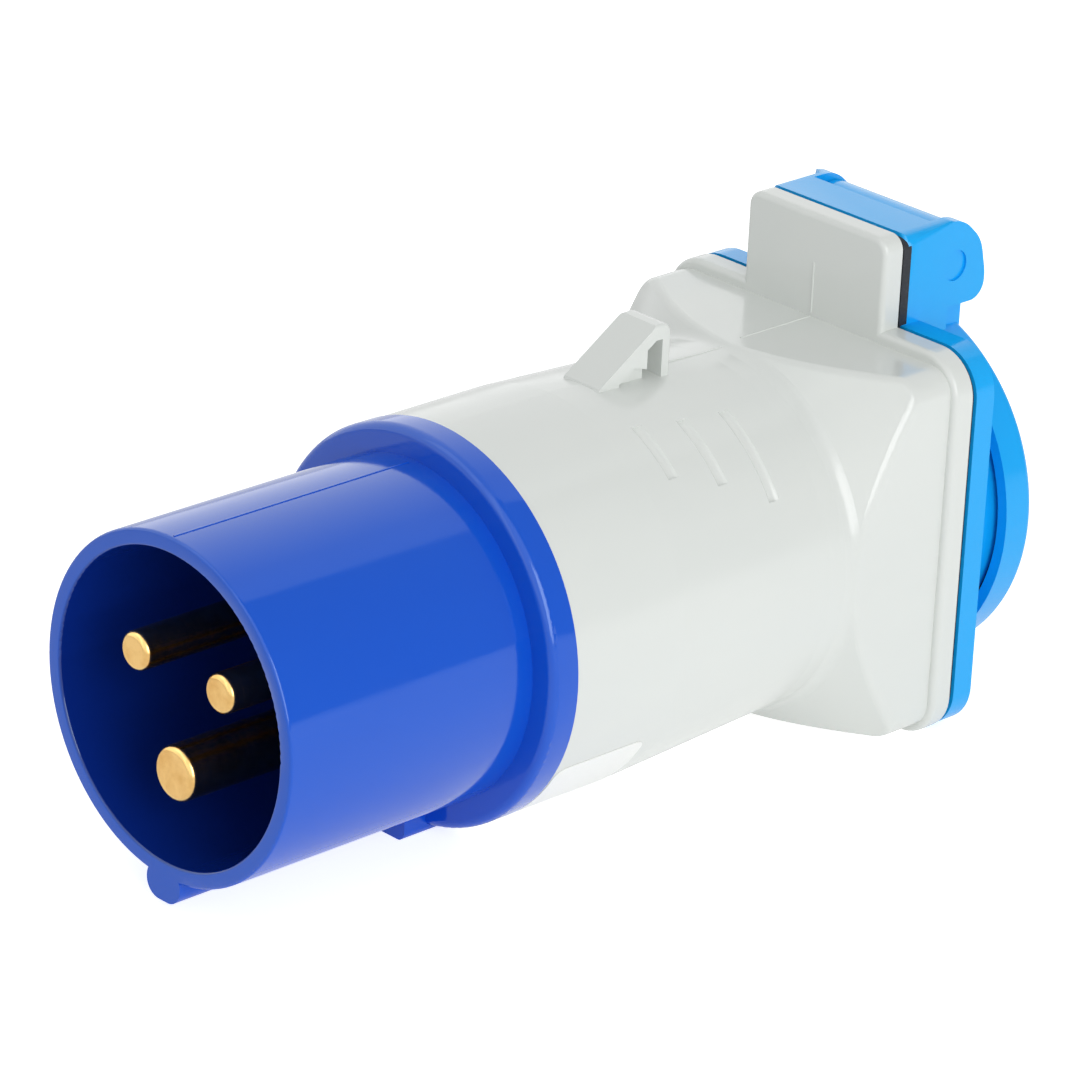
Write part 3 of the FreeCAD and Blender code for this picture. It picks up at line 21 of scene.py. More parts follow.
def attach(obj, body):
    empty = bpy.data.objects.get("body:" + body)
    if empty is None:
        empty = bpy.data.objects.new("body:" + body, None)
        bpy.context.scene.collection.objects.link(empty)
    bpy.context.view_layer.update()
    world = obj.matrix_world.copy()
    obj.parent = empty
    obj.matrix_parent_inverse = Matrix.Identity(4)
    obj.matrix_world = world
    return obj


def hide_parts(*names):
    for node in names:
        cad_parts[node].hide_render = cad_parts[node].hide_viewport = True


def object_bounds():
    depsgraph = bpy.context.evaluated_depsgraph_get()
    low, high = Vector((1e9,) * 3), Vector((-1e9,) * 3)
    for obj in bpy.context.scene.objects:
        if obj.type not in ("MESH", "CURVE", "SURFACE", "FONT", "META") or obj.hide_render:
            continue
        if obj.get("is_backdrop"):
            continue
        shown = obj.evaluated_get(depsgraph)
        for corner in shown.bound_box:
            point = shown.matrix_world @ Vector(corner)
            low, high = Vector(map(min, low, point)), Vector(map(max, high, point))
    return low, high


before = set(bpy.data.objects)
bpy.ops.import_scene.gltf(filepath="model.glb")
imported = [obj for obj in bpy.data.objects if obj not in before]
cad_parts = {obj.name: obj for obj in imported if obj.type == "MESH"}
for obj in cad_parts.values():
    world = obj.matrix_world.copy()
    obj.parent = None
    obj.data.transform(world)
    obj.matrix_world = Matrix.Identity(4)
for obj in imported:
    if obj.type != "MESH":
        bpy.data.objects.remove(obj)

LOG = logging.getLogger("plug_adapter")
MM = 0.001
AXIS_LEVEL = 26.1 * MM  # height of the plug axis over the floor
MOUTH = -62.3 * MM  # place of the shroud's mouth on the Y axis
SAME = 1e-7  # points of a new piece that are nearer than this are one point, metres
PLAY = 1e-6  # how far a point may lie from another or from a plane and still count as on it
WHITE = (1, 1, 1, 1)


class Body(str, Enum):
    """The CAD bodies that pieces can ride on."""

    HOUSING = "housing"
    LID = "lid"


class Slot(str, Enum):
    """The record's material slots."""

    PLUG_BLUE = "plug_blue"
    HOUSING_GREY = "housing_grey"
    FLANGE_BLUE = "flange_blue"
    CARRIER_BLACK = "carrier_black"
    INSERT_WHITE = "insert_white"
    GASKET_BLACK = "gasket_black"
    SEAL_BLACK = "seal_black"
    PIN_BRASS = "pin_brass"
    CONTACT_BRASS = "contact_brass"
    SCREW_STEEL = "screw_steel"
    PIN_STEEL = "pin_steel"
    SPRING_STEEL = "spring_steel"
    WIRE_BROWN = "wire_brown"
    WIRE_BLUE = "wire_blue"
    WIRE_GREEN = "wire_green"


def place(along: float, across: float = 0.0, up: float = 0.0) -> Vector:
    """A point of the row frame from millimetres counted from the mouth and from the plug axis."""
    return Vector((across * MM, MOUTH + along * MM, AXIS_LEVEL + up * MM))


def linear(code: str) -> tuple[float, ...]:
    """Converts an sRGB hex colour to linear RGBA.

    Args:
        code: colour as "#rrggbb".

    Returns:
        Four linear numbers, the last one 1.
    """
    parts = [int(code[i:i + 2], 16) / 255 for i in (1, 3, 5)]
    return tuple(c / 12.92 if c <= 0.04045 else ((c + 0.055) / 1.055) ** 2.4 for c in parts) + (1.0,)


def add_node(tree: bpy.types.NodeTree, kind: str, inputs: dict | None = None,
             **settings: object) -> bpy.types.Node:
    """Adds a shader node, sets it up and links it.

    Args:
        tree: the node tree.
        kind: the node's type name.
        inputs: input name or number to a value, or to the output socket that feeds it.
        settings: attributes of the node.

    Returns:
        The new node.
    """
    node = tree.nodes.new(kind)
    for name, value in settings.items():
        setattr(node, name, value)
    for name, value in (inputs or {}).items():
        if isinstance(value, bpy.types.NodeSocket):
            tree.links.new(value, node.inputs[name])
        else:
            node.inputs[name].default_value = value
    return node


def new_material(name: str) -> tuple[bpy.types.Material, bpy.types.NodeTree, bpy.types.Node]:
    """Makes an empty node material.

    Args:
        name: the material's name.

    Returns:
        The material, its tree and its output node.
    """
    material = bpy.data.materials.new(name)
    material.use_nodes = True
    tree = material.node_tree
    tree.nodes.clear()
    return material, tree, add_node(tree, "ShaderNodeOutputMaterial")


def per_metre(size_mm: float) -> float:
    """Noise scale for features of this size in millimetres."""
    return 1.0 / (size_mm * MM)


# ---------------------------------------------------------------- finishes


@dataclass(frozen=True)
class MouldedPlastic:
    """Injection moulded plastic from a polished or a spark-eroded mould.

    The eye sees a body colour that drifts a little along the melt's flow, a gloss that isn't quite even, and a faint
    waviness of the skin that breaks up the edges of reflections. A hollow moulding can get painted shade: a deeper
    colour nearer to its axis than a given radius, which stands in for the shade inside it. Depths are in millimetres.
    """

    name: str
    colour: str
    drift: str
    gloss: float
    recess_shade: str = ""
    recess_shade_radius_mm: float = 0.0
    sheen_tint: str = "#ffffff"
    ior: float = 1.53
    grain_mm: float = 0.5
    grain_depth: float = 0.004
    wave_depth: float = 0.03

    RECESS_SHADE_FADE = 0.0003  # width over which the painted shade sets in, metres

    def build(self) -> bpy.types.Material:
        """Builds the material, read from object coordinates.

        Returns:
            The material.
        """
        material, tree, output = new_material(self.name)
        where = add_node(tree, "ShaderNodeTexCoord").outputs["Object"]
        # Flow drift: 14 mm clouds stretched along the flow, which runs down the axis of these mouldings.
        stretched = add_node(tree, "ShaderNodeMapping", {"Vector": where, "Scale": (1.0, 0.35, 1.0)})
        clouds = add_node(tree, "ShaderNodeTexNoise", {"Vector": stretched.outputs["Vector"], "Scale": per_metre(14),
                                                       "Detail": 3.0, "Roughness": 0.55})
        tint = add_node(tree, "ShaderNodeMix", {"Factor": clouds.outputs["Fac"], 6: linear(self.colour),
                                                7: linear(self.drift)}, data_type="RGBA")
        # Painted shade: inside the given radius the colour turns deeper, for the shade in the shroud's recess.
        if self.recess_shade:
            tint = self._paint_recess_shade(tree, where, tint)
        # Gloss drift: 5 mm patches where the skin froze against the mould a little sooner.
        patches = add_node(tree, "ShaderNodeTexNoise", {"Vector": where, "Scale": per_metre(5), "Detail": 2.0})
        rough = add_node(tree, "ShaderNodeMapRange", {"Value": patches.outputs["Fac"], "From Min": 0.3,
                                                      "From Max": 0.7, "To Min": self.gloss - 0.03,
                                                      "To Max": self.gloss + 0.04})
        waves = add_node(tree, "ShaderNodeTexNoise", {"Vector": where, "Scale": per_metre(7), "Detail": 1.0})
        grain = add_node(tree, "ShaderNodeTexNoise", {"Vector": where, "Scale": per_metre(self.grain_mm),
                                                      "Detail": 2.0, "Roughness": 0.6})
        sink = add_node(tree, "ShaderNodeBump", {"Height": waves.outputs["Fac"], "Strength": 0.4,
                                                 "Distance": self.wave_depth * MM})
        skin = add_node(tree, "ShaderNodeBump", {"Height": grain.outputs["Fac"], "Strength": 0.5,
                                                 "Distance": self.grain_depth * MM,
                                                 "Normal": sink.outputs["Normal"]})
        shader = add_node(tree, "ShaderNodeBsdfPrincipled", {"Base Color": tint.outputs[2],
                                                             "Roughness": rough.outputs["Result"],
                                                             "IOR": self.ior,
                                                             "Specular Tint": linear(self.sheen_tint),
                                                             "Normal": skin.outputs["Normal"]})
        tree.links.new(shader.outputs["BSDF"], output.inputs["Surface"])
        return material

    def _paint_recess_shade(self, tree: bpy.types.NodeTree, where: bpy.types.NodeSocket, tint: bpy.types.Node) -> bpy.types.Node:
        """Paints shade: a deeper colour nearer to the plug axis than the given radius, for the shade inside the shroud.

        Args:
            tree: the material's nodes.
            where: object coordinates, which are the row frame's.
            tint: the mix node that gives the outer colour.

        Returns:
            The mix node that gives both colours.
        """
        across = add_node(tree, "ShaderNodeVectorMath", {0: where, 1: (0.0, 0.0, AXIS_LEVEL)}, operation="SUBTRACT")
        flat = add_node(tree, "ShaderNodeVectorMath", {0: across.outputs["Vector"], 1: (1.0, 0.0, 1.0)},
                        operation="MULTIPLY")
        radius = add_node(tree, "ShaderNodeVectorMath", {0: flat.outputs["Vector"]}, operation="LENGTH")
        edge = self.recess_shade_radius_mm * MM
        inside = add_node(tree, "ShaderNodeMapRange", {"Value": radius.outputs["Value"],
                                                       "From Min": edge + self.RECESS_SHADE_FADE, "From Max": edge,
                                                       "To Min": 0.0, "To Max": 1.0})
        return add_node(tree, "ShaderNodeMix", {"Factor": inside.outputs["Result"], 6: tint.outputs[2],
                                                7: linear(self.recess_shade)}, data_type="RGBA")


@dataclass(frozen=True)
class CutRubber:
    """Die-cut or moulded sealing rubber: matt, with fine talc specks in the grain."""

    name: str
    colour: str
    dust: str
    gloss: float = 0.62

    def build(self) -> bpy.types.Material:
        """Builds the material, read from object coordinates.

        Returns:
            The material.
        """
        material, tree, output = new_material(self.name)
        where = add_node(tree, "ShaderNodeTexCoord").outputs["Object"]
        specks = add_node(tree, "ShaderNodeTexNoise", {"Vector": where, "Scale": per_metre(0.4), "Detail": 4.0,
                                                       "Roughness": 0.7})
        dusty = add_node(tree, "ShaderNodeMapRange", {"Value": specks.outputs["Fac"], "From Min": 0.52,
                                                      "From Max": 0.78, "To Max": 0.5})
        tint = add_node(tree, "ShaderNodeMix", {"Factor": dusty.outputs["Result"], 6: linear(self.colour),
                                                7: linear(self.dust)}, data_type="RGBA")
        bump = add_node(tree, "ShaderNodeBump", {"Height": specks.outputs["Fac"], "Strength": 0.5,
                                                 "Distance": 0.02 * MM})
        shader = add_node(tree, "ShaderNodeBsdfPrincipled", {"Base Color": tint.outputs[2],
                                                             "Roughness": self.gloss,
                                                             "Normal": bump.outputs["Normal"]})
        tree.links.new(shader.outputs["BSDF"], output.inputs["Surface"])
        return material


class Tooling(Enum):
    """How a metal piece was made, which sets the direction of its fine marks."""

    TURNED = (0.0, 1.0, 0.0)
    STAMPED = (0.0, 0.25, 0.0)
    PLATED = (1.0, 1.0, 1.0)
    DRAWN = (1.0, 0.05, 1.0)


@dataclass(frozen=True)
class WorkedMetal:
    """Bare or plated metal with the marks of its tooling and slight tarnish in patches. Depths in millimetres."""

    name: str
    colour: str
    tarnish: str
    gloss: float
    tooling: Tooling
    mark_mm: float = 0.3
    mark_depth: float = 0.001
    spread: float = 0.06

    def build(self) -> bpy.types.Material:
        """Builds the material, read from object coordinates.

        Returns:
            The material.
        """
        material, tree, output = new_material(self.name)
        where = add_node(tree, "ShaderNodeTexCoord").outputs["Object"]
        patches = add_node(tree, "ShaderNodeTexNoise", {"Vector": where, "Scale": per_metre(4), "Detail": 4.0,
                                                        "Roughness": 0.6})
        dull = add_node(tree, "ShaderNodeMapRange", {"Value": patches.outputs["Fac"], "From Min": 0.42,
                                                     "From Max": 0.72})
        tint = add_node(tree, "ShaderNodeMix", {"Factor": dull.outputs["Result"], 6: linear(self.colour),
                                                7: linear(self.tarnish)}, data_type="RGBA")
        # Real tool marks are near 0.05 mm apart; they are drawn coarser so that the picture can hold them.
        lined = add_node(tree, "ShaderNodeMapping", {"Vector": where, "Scale": self.tooling.value})
        marks = add_node(tree, "ShaderNodeTexNoise", {"Vector": lined.outputs["Vector"],
                                                      "Scale": per_metre(self.mark_mm), "Detail": 1.0})
        rough = add_node(tree, "ShaderNodeMapRange", {"Value": marks.outputs["Fac"], "From Min": 0.3,
                                                      "From Max": 0.7, "To Min": self.gloss - self.spread,
                                                      "To Max": self.gloss + self.spread})
        bump = add_node(tree, "ShaderNodeBump", {"Height": marks.outputs["Fac"], "Strength": 0.15,
                                                 "Distance": self.mark_depth * MM})
        shader = add_node(tree, "ShaderNodeBsdfPrincipled", {"Base Color": tint.outputs[2],
                                                             "Roughness": rough.outputs["Result"],
                                                             "Metallic": 1.0, "Normal": bump.outputs["Normal"]})
        tree.links.new(shader.outputs["BSDF"], output.inputs["Surface"])
        return material


@dataclass(frozen=True)
class StripedSheath:
    """Extruded cable sheath, plain or with a second colour in a stripe along it."""

    name: str
    colour: str
    stripe: str
    stripe_share: float

    def build(self) -> bpy.types.Material:
        """Builds the material: the stripe follows the position across the run, as it does on an extruded wire.

        Returns:
            The material.
        """
        material, tree, output = new_material(self.name)
        where = add_node(tree, "ShaderNodeTexCoord").outputs["Object"]
        parts = add_node(tree, "ShaderNodeSeparateXYZ", {"Vector": where})
        bands = add_node(tree, "ShaderNodeMath", {0: parts.outputs["X"], 1: per_metre(1.4)}, operation="MULTIPLY")
        saw = add_node(tree, "ShaderNodeMath", {0: bands.outputs["Value"]}, operation="FRACT")
        pick = add_node(tree, "ShaderNodeMath", {0: saw.outputs["Value"], 1: self.stripe_share},
                        operation="LESS_THAN")
        tint = add_node(tree, "ShaderNodeMix", {"Factor": pick.outputs["Value"], 6: linear(self.colour),
                                                7: linear(self.stripe)}, data_type="RGBA")
        lines = add_node(tree, "ShaderNodeTexNoise", {"Vector": where, "Scale": per_metre(0.5), "Detail": 2.0})
        bump = add_node(tree, "ShaderNodeBump", {"Height": lines.outputs["Fac"], "Strength": 0.3,
                                                 "Distance": 0.01 * MM})
        shader = add_node(tree, "ShaderNodeBsdfPrincipled", {"Base Color": tint.outputs[2], "Roughness": 0.42,
                                                             "Normal": bump.outputs["Normal"]})
        tree.links.new(shader.outputs["BSDF"], output.inputs["Surface"])
        return material


@dataclass(frozen=True)
class LabelFilm:
    """Blank printed film: a white, slightly glossy face with faint fibre and lift."""

    name: str
    colour: str
    shade: str

    def build(self) -> bpy.types.Material:
        """Builds the material, read from object coordinates.

        Returns:
            The material.
        """
        material, tree, output = new_material(self.name)
        where = add_node(tree, "ShaderNodeTexCoord").outputs["Object"]
        fibre = add_node(tree, "ShaderNodeTexNoise", {"Vector": where, "Scale": per_metre(0.6), "Detail": 4.0,
                                                      "Roughness": 0.65})
        tint = add_node(tree, "ShaderNodeMix", {"Factor": fibre.outputs["Fac"], 6: linear(self.colour),
                                                7: linear(self.shade)}, data_type="RGBA")
        bump = add_node(tree, "ShaderNodeBump", {"Height": fibre.outputs["Fac"], "Strength": 0.3,
                                                 "Distance": 0.01 * MM})
        shader = add_node(tree, "ShaderNodeBsdfPrincipled", {"Base Color": tint.outputs[2], "Roughness": 0.34,
                                                             "Normal": bump.outputs["Normal"]})
        tree.links.new(shader.outputs["BSDF"], output.inputs["Surface"])
        return material


FINISHES = {
    # The plug's blue carries painted shade within 19.8 mm of the axis, for the dark inside of the shroud.
    Slot.PLUG_BLUE: MouldedPlastic("Polyamide_royal_blue_moulded", "#0b50c8", "#0f56cf", 0.09, recess_shade="#0a2a86",
                                   recess_shade_radius_mm=19.8, sheen_tint="#e4fbff", ior=1.56),
    Slot.HOUSING_GREY: MouldedPlastic("Polyamide_light_grey_moulded", "#e0e3df", "#dadedb", 0.17),
    Slot.FLANGE_BLUE: MouldedPlastic("Polyamide_sky_blue_moulded", "#0aa6f4", "#12aef8", 0.17, sheen_tint="#d6f8ff"),
    Slot.CARRIER_BLACK: MouldedPlastic("Thermoset_black_moulded", "#17181b", "#1c1d20", 0.38),
    Slot.INSERT_WHITE: MouldedPlastic("Thermoset_white_moulded", "#d9d7cf", "#d2d0c8", 0.36),
    Slot.GASKET_BLACK: CutRubber("Sealing_rubber_die_cut", "#22262c", "#4a4f57"),
    Slot.SEAL_BLACK: CutRubber("Sealing_rubber_moulded", "#1c1e22", "#3a3d42", 0.5),
    Slot.PIN_BRASS: WorkedMetal("Brass_turned", "#f0c680", "#dba75e", 0.22, Tooling.TURNED, mark_mm=0.5,
                                mark_depth=0.0002, spread=0.03),
    Slot.CONTACT_BRASS: WorkedMetal("Brass_stamped", "#d2ab66", "#a98449", 0.32, Tooling.STAMPED),
    Slot.SCREW_STEEL: WorkedMetal("Steel_zinc_plated", "#c9ccd0", "#a9adb4", 0.3, Tooling.PLATED),
    Slot.PIN_STEEL: WorkedMetal("Steel_drawn_nickel_plated", "#c4c6c8", "#9fa2a6", 0.24, Tooling.TURNED),
    Slot.SPRING_STEEL: WorkedMetal("Spring_steel_drawn", "#a7abb0", "#7f8388", 0.3, Tooling.DRAWN),
    Slot.WIRE_BROWN: StripedSheath("Pvc_sheath_brown", "#5a3524", "#62402e", 0.2),
    Slot.WIRE_BLUE: StripedSheath("Pvc_sheath_blue", "#1d5fb8", "#2768c0", 0.2),
    Slot.WIRE_GREEN: StripedSheath("Pvc_sheath_green_yellow", "#2c8a3c", "#d8c62f", 0.4),
}
LABEL_FILM = LabelFilm("Label_film_white", "#f7f8f5", "#f0f1ee")

NODE_SLOTS = {
    "plug_front": Slot.PLUG_BLUE,
    "pin_carrier": Slot.CARRIER_BLACK,
    "live_pin": Slot.PIN_BRASS,
    "neutral_pin": Slot.PIN_BRASS,
    "earth_pin": Slot.PIN_BRASS,
    "carrier_screw": Slot.SCREW_STEEL,
    "pin_terminal_screws": Slot.SCREW_STEEL,
    "plug_fixing_screws": Slot.SCREW_STEEL,
    "flange_screws": Slot.SCREW_STEEL,
    "centre_screw": Slot.SCREW_STEEL,
    "contact_terminal_screws": Slot.SCREW_STEEL,
    "housing": Slot.HOUSING_GREY,
    "spigot_seal": Slot.SEAL_BLACK,
    "flange_gasket": Slot.GASKET_BLACK,
    "socket_flange": Slot.FLANGE_BLUE,
    "socket_base": Slot.INSERT_WHITE,
    "live_contact": Slot.CONTACT_BRASS,
    "neutral_contact": Slot.CONTACT_BRASS,
    "earth_bracket": Slot.CONTACT_BRASS,
    "hinge_pin": Slot.PIN_STEEL,
    "lid": Slot.FLANGE_BLUE,
    "lid_seal": Slot.SEAL_BLACK,
    "lid_spring": Slot.SPRING_STEEL,
    "live_wire": Slot.WIRE_BROWN,
    "neutral_wire": Slot.WIRE_BLUE,
    "earth_wire": Slot.WIRE_GREEN,
}


class Palette:
    """Builds each material once and hands it out."""

    def __init__(self) -> None:
        """Makes every finish of the slots, and the label's film."""
        self.by_slot = {slot: finish.build() for slot, finish in FINISHES.items()}
        self.label = LABEL_FILM.build()

    def dress_nodes(self) -> None:
        """Gives every CAD node the material of its slot."""
        for name, slot in NODE_SLOTS.items():
            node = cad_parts[name]
            for holder in node.material_slots:
                holder.material = self.by_slot[slot]
            LOG.info("dressed %s in %s", name, self.by_slot[slot].name)


# ---------------------------------------------------------------- pieces


def finish_piece(mesh: bmesh.types.BMesh, name: str, material: bpy.types.Material, body: Body,
                 smooth_angle: float = 35.0) -> bpy.types.Object:
    """Turns a bmesh into a piece at the origin that rides on a body.

    Args:
        mesh: the finished geometry in metres, in the row frame. It is freed.
        name: the object's name.
        material: its material.
        body: the CAD body it rides on.
        smooth_angle: edges that turn by more than this stay sharp, degrees.

    Returns:
        The new object.
    """
    bmesh.ops.remove_doubles(mesh, verts=mesh.verts[:], dist=SAME)
    bmesh.ops.recalc_face_normals(mesh, faces=mesh.faces[:])
    for face in mesh.faces:
        face.smooth = True
    for edge in mesh.edges:
        if len(edge.link_faces) == 2 and edge.calc_face_angle(0.0) > math.radians(smooth_angle):
            edge.smooth = False
    data = bpy.data.meshes.new(name)
    mesh.to_mesh(data)
    mesh.free()
    data.materials.append(material)
    piece = bpy.data.objects.new(name, data)
    bpy.context.scene.collection.objects.link(piece)
    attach(piece, body.value)
    LOG.info("built %s: %d faces on %s", name, len(data.polygons), body.value)
    return piece


def merged_copy(node: str) -> bmesh.types.BMesh:
    """Copies a CAD node's mesh and merges its doubles, so that the copy can be shaped and replace the node.

    Args:
        node: the CAD node's name.

    Returns:
        The copy, in metres, in the row frame.
    """
    mesh = bmesh.new()
    mesh.from_mesh(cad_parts[node].data)
    bmesh.ops.remove_doubles(mesh, verts=mesh.verts[:], dist=PLAY)
    return mesh


def round_off(mesh: bmesh.types.BMesh, geom: list, offset: float, segments: int, affect: str = "EDGES") -> None:
    """Rounds edges, or the corners of a flat sheet, by an even width."""
    bmesh.ops.bevel(mesh, geom=geom, offset=offset, offset_type="OFFSET", affect=affect, segments=segments,
                    profile=0.5, material=-1)


@dataclass(frozen=True)
class ScrewSizes:
    """Sizes of a pan head screw, millimetres."""

    head_radius: float
    head_height: float
    shaft_radius: float
    shaft_length: float
    recess_reach: float
    recess_width: float = 0.75
    recess_depth: float = 1.1


class PanHeadScrew:
    """A pan head screw with a cross recess, built along +Z and set along +Y."""

    HEAD_SEGMENTS = 48
    SHAFT_SEGMENTS = 24
    NEAR_END = 0.9  # an edge past this share of a cylinder's length belongs to its end
    CROWN = 0.5  # width of the head's rounding as a share of its height
    FOOT_CHAMFER = 0.4 * MM
    PUNCH_TAPER = (0.55, 0.6, 1.0)  # size of the punch's tips as a share of its top

    def __init__(self, sizes: ScrewSizes) -> None:
        """Keeps the sizes."""
        self.sizes = sizes

    def _blank(self, mesh: bmesh.types.BMesh) -> None:
        """Adds the head and the shaft: each a cylinder, the head's crown rounded and the foot chamfered.

        Args:
            mesh: the bmesh that takes them.
        """
        s = self.sizes
        bmesh.ops.create_cone(mesh, cap_ends=True, segments=self.HEAD_SEGMENTS, radius1=s.head_radius * MM,
                              radius2=s.head_radius * MM, depth=s.head_height * MM,
                              matrix=Matrix.Translation((0, 0, s.head_height * MM / 2)))
        top = [e for e in mesh.edges if all(v.co.z > s.head_height * MM * self.NEAR_END for v in e.verts)]
        round_off(mesh, top, s.head_height * MM * self.CROWN, segments=6)
        bmesh.ops.create_cone(mesh, cap_ends=True, segments=self.SHAFT_SEGMENTS, radius1=s.shaft_radius * MM,
                              radius2=s.shaft_radius * MM, depth=s.shaft_length * MM,
                              matrix=Matrix.Translation((0, 0, -s.shaft_length * MM / 2)))
        low = [e for e in mesh.edges if all(v.co.z < -s.shaft_length * MM * self.NEAR_END for v in e.verts)]
        round_off(mesh, low, self.FOOT_CHAMFER, segments=1)

    def _cutter(self) -> bpy.types.Object:
        """Makes the punch of the cross recess: two crossed blades that narrow towards their tips.

        Returns:
            The punch, not yet linked to the scene.
        """
        s = self.sizes
        mesh = bmesh.new()
        for turn in (0.0, 90.0):
            blade = bmesh.ops.create_cube(mesh, size=1.0)
            bmesh.ops.scale(mesh, vec=(2 * s.recess_reach * MM, s.recess_width * MM, 2 * s.recess_depth * MM),
                            verts=blade["verts"])
            tips = [v for v in blade["verts"] if v.co.z < 0]
            bmesh.ops.scale(mesh, vec=self.PUNCH_TAPER, verts=tips)
            bmesh.ops.rotate(mesh, cent=(0, 0, 0), verts=blade["verts"],
                             matrix=Matrix.Rotation(math.radians(turn), 3, "Z"))
        bmesh.ops.translate(mesh, vec=(0, 0, s.head_height * MM), verts=mesh.verts[:])
        data = bpy.data.meshes.new("recess_punch")
        mesh.to_mesh(data)
        mesh.free()
        return bpy.data.objects.new("recess_punch", data)

    def geometry(self) -> bmesh.types.BMesh:
        """Cuts the recess into the blank.

        Returns:
            The screw as one bmesh, seat at the origin and head towards +Z.
        """
        mesh = bmesh.new()
        self._blank(mesh)
        data = bpy.data.meshes.new("screw_blank")
        mesh.to_mesh(data)
        mesh.free()
        blank = bpy.data.objects.new("screw_blank", data)
        punch = self._cutter()
        for part in (blank, punch):
            bpy.context.scene.collection.objects.link(part)
        cut = blank.modifiers.new("recess", "BOOLEAN")
        cut.object = punch
        cut.operation = "DIFFERENCE"
        cut.solver = "EXACT"
        cut.use_self = True
        result = bmesh.new()
        result.from_object(blank, bpy.context.evaluated_depsgraph_get())
        for part in (blank, punch):
            old = part.data
            bpy.data.objects.remove(part)
            bpy.data.meshes.remove(old)
        return result

    def build(self, name: str, seats: Iterable[tuple[Vector, float]], palette: Palette,
              node: str) -> bpy.types.Object:
        """Sets copies of the screw on their seats and lets them stand for a CAD node.

        Args:
            name: the piece's name.
            seats: (point under the head, turn of the recess in degrees) of each screw.
            palette: the materials.
            node: the CAD node that they replace.

        Returns:
            The piece.
        """
        whole = bmesh.new()
        for point, turn in seats:
            one = self.geometry()
            bmesh.ops.transform(one, verts=one.verts[:], matrix=Matrix.Translation(point)
                                @ Matrix.Rotation(math.radians(-90), 4, "X")
                                @ Matrix.Rotation(math.radians(turn), 4, "Z"))
            data = bpy.data.meshes.new("screw")
            one.to_mesh(data)
            one.free()
            whole.from_mesh(data)
            bpy.data.meshes.remove(data)
        piece = finish_piece(whole, name, palette.by_slot[Slot.SCREW_STEEL], Body.HOUSING,
                             smooth_angle=40.0)
        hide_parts(node)
        return piece


@dataclass(frozen=True)
class LabelSizes:
    """Sizes of the bare label on the tube, millimetres and degrees."""

    start: float = 42.6
    end: float = 57.4
    low_angle: float = -88.0
    high_angle: float = -29.0
    tube_radius: float = 25.3
    thick: float = 0.09
    corner: float = 1.5
    lift: float = 0.01  # gap between the tube and the film


class BareLabel:
    """The blank label that is wrapped on the lower right of the tube."""

    CUT_DEGREES = 2.0  # turn between two cuts across the film, along which it bends

    def __init__(self, sizes: LabelSizes) -> None:
        """Keeps the sizes."""
        self.sizes = sizes

    def build(self, palette: Palette) -> bpy.types.Object:
        """Cuts a flat film with round corners, wraps it on the tube and gives it its thickness.

        Args:
            palette: the materials.

        Returns:
            The piece.
        """
        s = self.sizes
        mesh = bmesh.new()
        sheet = bmesh.ops.create_grid(mesh, x_segments=1, y_segments=1, size=0.5)
        span = s.high_angle - s.low_angle
        # The film is laid out flat in millimetres, where one degree of the tube is one arc long, and wrapped later.
        arc = math.radians(1.0) * s.tube_radius
        bmesh.ops.scale(mesh, vec=(span * arc, s.end - s.start, 1.0), verts=sheet["verts"])
        round_off(mesh, mesh.verts[:], s.corner, segments=6, affect="VERTICES")
        cuts = int(span / self.CUT_DEGREES)
        for index in range(1, cuts):
            across = (index / cuts - 0.5) * span * arc
            bmesh.ops.bisect_plane(mesh, geom=mesh.verts[:] + mesh.edges[:] + mesh.faces[:], dist=PLAY,
                                   plane_co=(across, 0, 0), plane_no=(1, 0, 0))
        middle = (s.high_angle + s.low_angle) / 2
        for vert in mesh.verts:
            angle = math.radians(middle + vert.co.x / arc)
            along = (s.start + s.end) / 2 + vert.co.y
            radius = s.tube_radius + s.lift
            vert.co = place(along, radius * math.cos(angle), radius * math.sin(angle))
        bmesh.ops.recalc_face_normals(mesh, faces=mesh.faces[:])
        axis = place(s.start)
        face = mesh.faces[0]
        outward = face.calc_center_median() - axis
        outward.y = 0.0
        if face.normal.dot(outward) < 0:
            bmesh.ops.reverse_faces(mesh, faces=mesh.faces[:])
        bmesh.ops.solidify(mesh, geom=mesh.faces[:], thickness=-s.thick * MM)
        return finish_piece(mesh, "bare_label", palette.label, Body.HOUSING)


@dataclass(frozen=True)
class RidgeSizes:
    """Sizes of a parting ridge, millimetres."""

    width: float = 0.3
    height: float = 0.1
    sunk: float = 0.15


